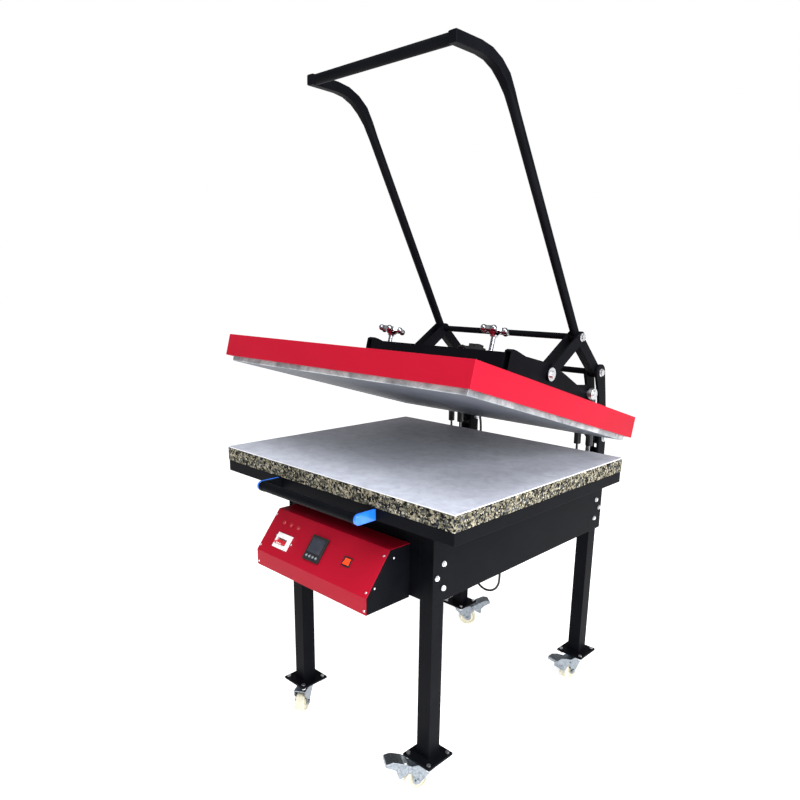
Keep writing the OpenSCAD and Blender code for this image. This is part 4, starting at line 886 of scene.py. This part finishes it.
class PRESS_OT_lever(bpy.types.Operator):
    """Bridge lever: tube arms pressed square where they are bent, a round grip and the pivot plates"""
    bl_idname = "press.lever"
    bl_label = "Lever"

    COLUMN, TOGGLE, PIVOT = 0.305, (0.327, 1.365), (0.475, 1.236)
    TILT, LEAN = math.radians(31.66), math.radians(1.42)
    BEND, REACH, GRIP_Z, HALF, SIDES = 0.163, 0.178, 2.113, 0.015, 40

    def execute(self, context):
        bm = bmesh.new()
        turn = math.pi / 2 - self.TILT
        tangent = self.BEND * math.tan(turn / 2)
        rise = (self.GRIP_Z - self.TOGGLE[1]) / math.cos(self.TILT)
        straight, stub = rise - tangent, self.REACH - tangent
        grip_y = self.TOGGLE[0] - rise * math.sin(self.TILT) - self.REACH
        grip_x = self.COLUMN - (rise + self.REACH * math.cos(turn)) * math.sin(self.LEAN)
        # Stations along an arm: place (y, z), heading, how square the tube is there, and its size
        stations = [(0.0, 0.012, 0.0, 0.0, 1.0), (0.0, straight - 0.05, 0.0, 0.0, 1.0),
                    (0.0, straight, 0.0, 0.35, 1.0)]
        for k in range(1, 5):
            t = turn * k / 4
            stations.append((-self.BEND + self.BEND * math.cos(t), straight + self.BEND * math.sin(t),
                             t, 1.0, 1.0))
        end_y, end_z = stations[-1][:2]
        for ahead, size in ((stub + 0.0128, 1.0), (stub + 0.0146, 0.9), (stub + 0.0148, 0.72)):
            stations.append((end_y - math.sin(turn) * ahead, end_z + math.cos(turn) * ahead,
                             turn, 1.0, size))
        pose = Matrix.Rotation(self.TILT, 3, "X") @ Matrix.Rotation(-self.LEAN, 3, "Y")
        for side in (-1, 1):
            rings = []
            for y, z, heading, square, size in stations:
                ring = []
                for k in range(self.SIDES):
                    a = 2 * math.pi * k / self.SIDES
                    c, d = math.cos(a), math.sin(a)
                    reach = (1 - square) + square / (abs(c) ** 9 + abs(d) ** 9) ** (1 / 9)
                    reach *= self.HALF * size
                    local = Vector((c * reach, y + d * reach * math.cos(heading),
                                    z + d * reach * math.sin(heading)))
                    p = pose @ local + Vector((self.COLUMN, self.TOGGLE[0] + SHIFT_Y, self.TOGGLE[1]))
                    ring.append(bm.verts.new((p.x * side, p.y, p.z)))
                rings.append(ring)
            self.skin(bm, rings)
            plate = self.bar_outline(self.TOGGLE, 0.020, self.PIVOT, 0.019)
            add_prism(bm, lambda a, b, c: Vector((c * side, a + SHIFT_Y, b)), plate,
                      (self.COLUMN - self.HALF, self.COLUMN + self.HALF))
        grip = []
        radius = self.HALF * 0.985
        angles = [2 * math.pi * k / self.SIDES for k in range(self.SIDES)]
        for x in (-grip_x + 0.004, -grip_x + 0.02, 0.0, grip_x - 0.02, grip_x - 0.004):
            grip.append([bm.verts.new((x, grip_y + SHIFT_Y + radius * math.cos(a),
                                       self.GRIP_Z + radius * math.sin(a))) for a in angles])
        self.skin(bm, grip)
        bmesh.ops.recalc_face_normals(bm, faces=bm.faces[:])
        mesh = bpy.data.meshes.new("bridge_lever")
        bm.to_mesh(mesh)
        bm.free()
        mesh.materials.append(FINISH["black"])
        lever = soften("bridge_lever", mesh, 0.0009, "lever")
        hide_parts("lever")
        return {"FINISHED"}

    @staticmethod
    def skin(bm, rings):
        for low, high in zip(rings, rings[1:]):
            for k in range(len(low)):
                k2 = (k + 1) % len(low)
                bm.faces.new((low[k], low[k2], high[k2], high[k]))
        bm.faces.new(rings[0][::-1])
        bm.faces.new(rings[-1])

    @staticmethod
    def bar_outline(p, rp, q, rq):
        """Outline of a flat bar with a round end of its own radius at each of two points."""
        d = math.dist(p, q)
        t, a = math.atan2(q[1] - p[1], q[0] - p[0]), math.acos((rp - rq) / d)
        out = []
        for centre, r, start, sweep in ((q, rq, t - a, 2 * a), (p, rp, t + a, 2 * math.pi - 2 * a)):
            angles = [start + sweep * k / 16 for k in range(17)]
            out += [(centre[0] + r * math.cos(b), centre[1] + r * math.sin(b)) for b in angles]
        return out


class PRESS_OT_casters(bpy.types.Operator):
    """Plated caster forks and brake pedals with rolled edges"""
    bl_idname = "press.casters"
    bl_label = "Casters"

    def execute(self, context):
        for corner in ("fl", "fr", "rl", "rr"):
            round_edges(f"caster_fork_{corner}", 0.0006, [FINISH["zinc"]])
        for corner in ("fr", "rl", "rr"):
            round_edges(f"brake_pedal_{corner}", 0.0007, [FINISH["zinc"]])
        return {"FINISHED"}


class PRESS_OT_heating_plate(bpy.types.Operator):
    """Heating plate with a milled edge and a release-coated face"""
    bl_idname = "press.heating_plate"
    bl_label = "Heating plate"

    def execute(self, context):
        down = Matrix.Rotation(-OPEN_TILT, 3, "X") @ Vector((0, 0, -1))
        round_edges("heating_plate", 0.0008, [FINISH["plate_edge"], FINISH["platen"]],
                    pick=lambda face: 1 if face.normal.dot(down) > 0.9 else 0)
        return {"FINISHED"}


class PRESS_OT_controls(bpy.types.Operator):
    """Breaker, controller, rocker and handle covers"""
    bl_idname = "press.controls"
    bl_label = "Controls"

    def execute(self, context):
        round_edges("circuit_breaker", 0.0005, [FINISH["white_plastic"]])
        round_edges("breaker_toggle", 0.0007, [FINISH["red_plastic"]])
        round_edges("temperature_controller", 0.0007, [FINISH["black_plastic"]])
        round_edges("rocker_housing", 0.0004, [FINISH["black_plastic"]])
        round_edges("rocker_button", 0.0004, [FINISH["rocker"]])
        round_edges("pull_handle_caps", 0.0009, [FINISH["blue_plastic_with_painted_glow"]], segments=3)
        self.toggle_grips()
        self.display()
        self.key_marks()
        self.breaker_face()
        return {"FINISHED"}

    @staticmethod
    def toggle_grips():
        """White finger grips moulded on the breaker's red handle, one for each pole and one between."""
        back = Matrix.Rotation(-PANEL_SLOPE, 3, "X")
        local = [back @ (v.co - PANEL_FOLD) for v in NODES["breaker_toggle"].data.vertices]
        x0 = sum((min(p.x for p in local), max(p.x for p in local))) / 2
        out = max(p.z for p in local)
        crest = [-p.y for p in local if p.z > out - 0.0008]
        bottom = max(-p.y for p in local)
        bm = bmesh.new()
        for dx in (-0.0085, 0.0, 0.0085):
            add_slab(bm, panel_place, (x0 + dx - 0.0018, x0 + dx + 0.0018),
                     (sum(crest) / len(crest) + 0.0008, bottom - 0.0006), (out - 0.0035, out - 0.0002))
        face_outwards(bm)
        new_piece("toggle_grips", bm, "breaker_lever", [FINISH["white_plastic"]])

    @staticmethod
    def display():
        """A tinted window in the controller's recess, with a thin frame between its two readouts."""
        bm = bmesh.new()
        x0, down0 = CONTROLLER_AT
        add_slab(bm, panel_place, (x0 - 0.0278, x0 + 0.0278), (down0 - 0.0318, down0 + 0.0158),
                 (0.0050, 0.0060))
        add_slab(bm, panel_place, (x0 - 0.0255, x0 + 0.0255), (down0 + 0.0008, down0 + 0.0016),
                 (0.0060, 0.0062), 1)
        add_slab(bm, panel_place, (x0 - 0.0255, x0 + 0.0255), (down0 - 0.0298, down0 - 0.0292),
                 (0.0060, 0.0062), 1)
        face_outwards(bm)
        new_piece("controller_window", bm, "base", [FINISH["screen"], FINISH["black_plastic"]])

    @staticmethod
    def key_marks():
        """Plain printed marks on the four keys: a bar and three arrowheads."""
        shapes = ([(-0.0024, -0.0009), (0.0024, -0.0009), (0.0024, 0.0009), (-0.0024, 0.0009)],
                  [(-0.0022, 0.0), (0.0012, -0.0024), (0.0012, 0.0024)],
                  [(-0.0024, -0.0014), (0.0024, -0.0014), (0.0, 0.0022)],
                  [(-0.0024, 0.0014), (0.0, -0.0022), (0.0024, 0.0014)])
        for k, shape in enumerate(shapes):
            x0, down0 = CONTROLLER_AT[0] + (k - 1.5) * 0.015, CONTROLLER_AT[1] + 0.027
            bm = bmesh.new()
            add_prism(bm, lambda a, b, c: panel_place(x0 + a, down0 + b, c), shape, (0.0083, 0.0088))
            face_outwards(bm)
            new_piece(f"key_mark_{k + 1}", bm, f"key_{k + 1}", [FINISH["ink"]])

    @staticmethod
    def breaker_face():
        """Pole seam, rating plates without print and terminal screws on the breaker's nose."""
        bm = bmesh.new()
        x0, down0 = BREAKER_AT
        for side in (-1, 1):
            add_slab(bm, panel_place, (x0 + side * 0.0145 - 0.011, x0 + side * 0.0145 + 0.011),
                     (down0 - 0.0192, down0 - 0.0140), (0.0090, 0.0093))
            lathe(bm, [(0, 0.0090), (0.0021, 0.0090), (0.0021, 0.0096), (0.0017, 0.0100), (0, 0.0100)],
                  lambda a, b, c, s=side: panel_place(x0 + s * 0.0145 + a, down0 + 0.0165 + b, c), 20, 2)
        # The pole seam is a dark line of its own, in the finish that also paints the screws' recess shade
        add_slab(bm, panel_place, (x0 - 0.0004, x0 + 0.0004), (down0 - 0.0198, down0 - 0.0085),
                 (0.0088, 0.0092), 1)
        add_slab(bm, panel_place, (x0 - 0.0004, x0 + 0.0004), (down0 + 0.0125, down0 + 0.0198),
                 (0.0088, 0.0092), 1)
        face_outwards(bm)
        new_piece("breaker_face", bm, "base", [FINISH["white_plastic"], FINISH["seam_and_painted_recess_shade"], FINISH["bolt"]])


class PRESS_OT_foam(bpy.types.Operator):
    """Rebonded foam pad and the crumbs on its cut faces"""
    bl_idname = "press.foam"
    bl_label = "Foam pad"

    def execute(self, context):
        low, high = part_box("bed_foam")
        sizes = context.scene.press_sizes
        pad = self.block(low, high)
        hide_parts("bed_foam")
        sides = bmesh.new()
        inset = 0.0035
        ring = [(low.x, low.y), (high.x, low.y), (high.x, high.y), (low.x, high.y)]
        for (ax, ay), (bx, by) in zip(ring, ring[1:] + ring[:1]):
            along = Vector((bx - ax, by - ay, 0)).normalized() * inset
            corners = [Vector((ax, ay, low.z + inset)) + along, Vector((bx, by, low.z + inset)) - along,
                       Vector((bx, by, high.z - inset)) - along, Vector((ax, ay, high.z - inset)) + along]
            sides.faces.new([sides.verts.new(c) for c in corners])
        mesh = bpy.data.meshes.new("foam_sides")
        sides.to_mesh(mesh)
        sides.free()
        grow("foam_crumbs", chip_tree(), mesh, "bed",
             {"Chip": sizes.chip, "Density": sizes.chip_density, "Seed": 7,
              "Finish": FINISH["crumb"]})
        return {"FINISHED"}

    @staticmethod
    def block(low, high):
        """The pad as a cut block: its faces are a little uneven and its edges slightly soft."""
        counts = (102, 87, 6)
        bm = bmesh.new()
        size = high - low
        verts = {}

        def vert(i, j, k):
            key = (i, j, k)
            if key not in verts:
                u = Vector((i / counts[0], j / counts[1], k / counts[2]))
                p = Vector((low.x + u.x * size.x, low.y + u.y * size.y, low.z + u.z * size.z))
                pull = Vector((0.0, 0.0, 0.0))
                edge = 0
                for axis, (c, n) in enumerate(((i, counts[0]), (j, counts[1]), (k, counts[2]))):
                    if c in (0, n):
                        edge += 1
                        pull[axis] = 1.0 if c == 0 else -1.0
                depth = 0.0002 + 0.0005 * (0.5 + 0.5 * noise.noise(p * 60.0))
                if edge > 1:
                    depth += 0.0006
                if edge:
                    p += pull * depth
                verts[key] = bm.verts.new(p)
            return verts[key]

        for axis in range(3):
            a, b = [i for i in range(3) if i != axis]
            for end in (0, counts[axis]):
                for m in range(counts[a]):
                    for n in range(counts[b]):
                        ids = []
                        for dm, dn in ((0, 0), (1, 0), (1, 1), (0, 1)):
                            key = [0, 0, 0]
                            key[axis], key[a], key[b] = end, m + dm, n + dn
                            ids.append(vert(*key))
                        bm.faces.new(ids)
        face_outwards(bm)
        return new_piece("foam_pad", bm, "bed", [FINISH["foam"]], smooth_below=50.0)


class PRESS_OT_cover(bpy.types.Operator):
    """Heat-proof cover, laid flat on the foam with the ripples that it keeps"""
    bl_idname = "press.cover"
    bl_label = "Cover"

    def execute(self, context):
        sizes = context.scene.press_sizes
        low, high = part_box("bed_cover")
        columns, rows = 170, 145
        bm = bmesh.new()
        grid = []
        for j in range(rows + 1):
            for i in range(columns + 1):
                x = low.x + (high.x - low.x) * i / columns
                y = low.y + (high.y - low.y) * j / rows
                lift = self.ripple(x, y, low, high) * sizes.ripple
                grid.append(bm.verts.new((x, y, high.z - 0.0004 + lift)))
        for j in range(rows):
            for i in range(columns):
                a = j * (columns + 1) + i
                bm.faces.new((grid[a], grid[a + 1], grid[a + columns + 2], grid[a + columns + 1]))
        mesh = bpy.data.meshes.new("cover_sheet")
        bm.to_mesh(mesh)
        bm.free()
        mesh.materials.append(FINISH["cloth"])
        mesh.materials.append(FINISH["cover_rim_highlight"])
        sheet = bpy.data.objects.new("cover_sheet", mesh)
        context.scene.collection.objects.link(sheet)
        body = sheet.modifiers.new("body", "SOLIDIFY")
        body.thickness, body.offset = sizes.cloth, -1.0
        # Rim and underside take the second finish, the white painted highlight along the cover's edge
        body.material_offset, body.material_offset_rim = 1, 1
        depsgraph = context.evaluated_depsgraph_get()
        done = bpy.data.meshes.new_from_object(sheet.evaluated_get(depsgraph), depsgraph=depsgraph)
        bpy.data.objects.remove(sheet)
        cover = place_mesh("heat_proof_cover", done, "bed", [], smooth_below=50.0)
        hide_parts("bed_cover")
        return {"FINISHED"}

    @staticmethod
    def ripple(x, y, low, high):
        """Height from -1 to 1: long low swells, and patches of short ripples that lie across the bed."""
        swell = noise.noise(Vector((x * 5.0, y * 6.0, 3.1)))
        lean = 0.35
        along = x * math.cos(lean) + y * math.sin(lean)
        across = -x * math.sin(lean) + y * math.cos(lean)
        bend = 0.03 * noise.noise(Vector((x * 9.0, y * 9.0, 8.0)))
        short = noise.noise(Vector((along * 9.0, (across + bend) * 46.0, 1.7)))
        patch = max(0.0, noise.noise(Vector((x * 3.2 + 2.0, y * 3.6, 5.5))) + 0.25)
        edge = min(x - low.x, high.x - x, y - low.y, high.y - y)
        droop = -0.5 * max(0.0, 1.0 - edge / 0.012) ** 2
        return max(-1.2, min(0.6, 0.45 * swell + 0.95 * short * patch + droop))


class PRESS_OT_leads(bpy.types.Operator):
    """Heater lead in two lengths, its boot and the clips that hold it"""
    bl_idname = "press.leads"
    bl_label = "Heater lead"

    def execute(self, context):
        thick = context.scene.press_sizes.lead
        shift = Vector((0, SHIFT_Y, 0))
        base = smooth_route([Vector(p) / 1000 + shift for p in LEAD_BASE], 4)
        head = smooth_route([open_head_point(Vector(p) / 1000 + shift) for p in LEAD_HEAD], 4)
        boot = self.boot(base[0])
        lower = self.lead("heater_lead_lower", base, "base", thick, "heater_lead_base")
        upper = self.lead("heater_lead_upper", head, "head", thick, "heater_lead_head")
        clips = self.clips(base, thick)
        return {"FINISHED"}

    @staticmethod
    def length(points):
        return sum((b - a).length for a, b in zip(points, points[1:]))

    @staticmethod
    def lead(name, points, body, thick, node):
        """A round rubber sheath swept along its centreline, closed at both ends."""
        bm = bmesh.new()
        side = Vector((1.0, 0.8, -1.0))
        sides, rings = 14, []
        for i, p in enumerate(points):
            t = (points[min(i + 1, len(points) - 1)] - points[max(i - 1, 0)]).normalized()
            u = t.cross(side).normalized()
            v = t.cross(u)
            rings.append([bm.verts.new(p + (u * math.cos(2 * math.pi * k / sides)
                                            + v * math.sin(2 * math.pi * k / sides)) * thick / 2)
                          for k in range(sides)])
        for low, high in zip(rings, rings[1:]):
            for k in range(sides):
                bm.faces.new((low[k], low[(k + 1) % sides], high[(k + 1) % sides], high[k]))
        bm.faces.new(rings[0][::-1])
        bm.faces.new(rings[-1])
        face_outwards(bm)
        piece = new_piece(name, bm, body, [FINISH["rubber"]], smooth_below=45.0)
        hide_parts(node)
        return piece

    @staticmethod
    def boot(start):
        """Ribbed, tapered strain relief where the lead leaves the gland."""
        profile = [(0.0053, 0.0)]
        for k in range(7):
            at, wide = 0.0005 + k * 0.0034, 0.0086 - k * 0.0004
            profile += [(wide, at), (wide, at + 0.0020),
                        (wide - 0.0012, at + 0.0021), (wide - 0.0012, at + 0.0033)]
        profile += [(0.0053, 0.0250)]
        bm = bmesh.new()
        lathe(bm, profile, lambda a, b, c: Vector((start.x + a, start.y + c, start.z + b)), 28)
        rims = [e for e in bm.edges if e.is_boundary]
        bmesh.ops.contextual_create(bm, geom=rims)
        bmesh.ops.holes_fill(bm, edges=[e for e in bm.edges if e.is_boundary], sides=0)
        face_outwards(bm)
        return new_piece("gland_boot", bm, "base", [FINISH["rubber"]])

    @staticmethod
    def clips(points, thick):
        """Band clips under the slide channel, on the rear cross rail and behind it."""
        wanted = [(-275, -120, 836), (-275, 80, 836), (-275, 260, 836), (-190, 519, 815.5),
                  (-107, 524.5, 760), (-256, 548, 720), (-256, 548, 860)]
        places, turns = [], []
        for x, y, z in wanted:
            target = Vector((x / 1000, y / 1000 + SHIFT_Y, z / 1000))
            i = min(range(1, len(points) - 1), key=lambda k: (points[k] - target).length)
            places.append(points[i])
            turns.append((points[i + 1] - points[i - 1]).to_track_quat("Z", "X").to_euler())
        return grow("lead_clips", clip_tree(), point_mesh("lead_clip_points", places, turns), "base",
                    {"Lead Radius": thick / 2, "Width": 0.009, "Finish": FINISH["black_plastic"]})


class PRESS_OT_fastening(bpy.types.Operator):
    """Weld ripples, screw threads, and dark crosses of painted shade for the cross recesses of the panel
    screws
    """
    bl_idname = "press.fastening"
    bl_label = "Welds and threads"

    def execute(self, context):
        sizes = context.scene.press_sizes
        feet = [Vector((x, y + SHIFT_Y, FOOT_Z)) for x in (-LEG_X, LEG_X) for y in LEG_Y]
        grow("foot_welds", weld_tree(), point_mesh("foot_points", feet), "base",
             {"Side": 0.0515, "Bead": sizes.bead, "Pitch": 0.0034, "Finish": FINISH["black"]})
        thread = thread_tree()
        lean = (-OPEN_TILT, 0.0, 0.0)
        for name, x, lift in (("left", -SCREW_X, 0.026), ("right", SCREW_X, 0.048)):
            foot = head_place(x, SCREW_FORWARD, SCREW_FOOT)
            grow(f"pressure_thread_{name}", thread, point_mesh("thread_foot", [foot], [lean]),
                 f"pressure_screw_{name}",
                 {"Radius": 0.0070, "Length": lift - 0.0045, "Pitch": 0.0022, "Finish": FINISH["chrome"]})
        # Cross recesses of the panel screws, drawn as flat dark crosses: painted shade for the hollows
        spots, turns = [], []
        for x, down in ((-280, 22), (-279, 132), (229, 22), (230, 135), (-145, 96), (-229, 84)):
            spots.append(panel_place(x / 1000, down / 1000, 0.0021))
            turns.append((PANEL_SLOPE, 0.0, 0.4 + 0.013 * x))
        for x in (-0.277, 0.232):
            spots.append(Vector((x, -0.577 + SHIFT_Y - 0.0021, 0.640)))
            turns.append((math.pi / 2, 0.3 + x, 0.0))
        grow("screw_recesses", recess_shade_tree(), point_mesh("screw_heads", spots, turns), "base",
             {"Arm": 0.0034, "Finish": FINISH["seam_and_painted_recess_shade"]}, smooth_below=0.0)
        return {"FINISHED"}


class PRESS_PT_panel(bpy.types.Panel):
    """Heat press pieces and their settings"""
    bl_label = "Heat Press"
    bl_idname = "PRESS_PT_panel"
    bl_space_type = "VIEW_3D"
    bl_region_type = "UI"
    bl_category = "Heat Press"

    def draw(self, context):
        layout = self.layout
        for group in (context.scene.press_colours, context.scene.press_sizes):
            for name in group.bl_rna.properties.keys():
                if name not in ("rna_type", "name"):
                    layout.prop(group, name)
        for operator in OPERATORS:
            layout.operator(operator.bl_idname)


OPERATORS = (PRESS_OT_stage, PRESS_OT_finishes, PRESS_OT_leads, PRESS_OT_steelwork, PRESS_OT_lever,
             PRESS_OT_casters, PRESS_OT_heating_plate, PRESS_OT_controls, PRESS_OT_foam, PRESS_OT_cover,
             PRESS_OT_fastening)
CLASSES = (PressColours, PressSizes) + OPERATORS + (PRESS_PT_panel,)


def register():
    for cls in CLASSES:
        bpy.utils.register_class(cls)
    bpy.types.Scene.press_colours = bpy.props.PointerProperty(type=PressColours)
    bpy.types.Scene.press_sizes = bpy.props.PointerProperty(type=PressSizes)


def unregister():
    del bpy.types.Scene.press_sizes
    del bpy.types.Scene.press_colours
    for cls in reversed(CLASSES):
        bpy.utils.unregister_class(cls)


def main():
    for old in list(bpy.data.objects):
        if old.type in ("CAMERA", "LIGHT") or old.name == "Cube":
            bpy.data.objects.remove(old)
    register()
    for operator in OPERATORS:
        group, name = operator.bl_idname.split(".")
        getattr(getattr(bpy.ops, group), name)()


if __name__ == "__main__":
    main()
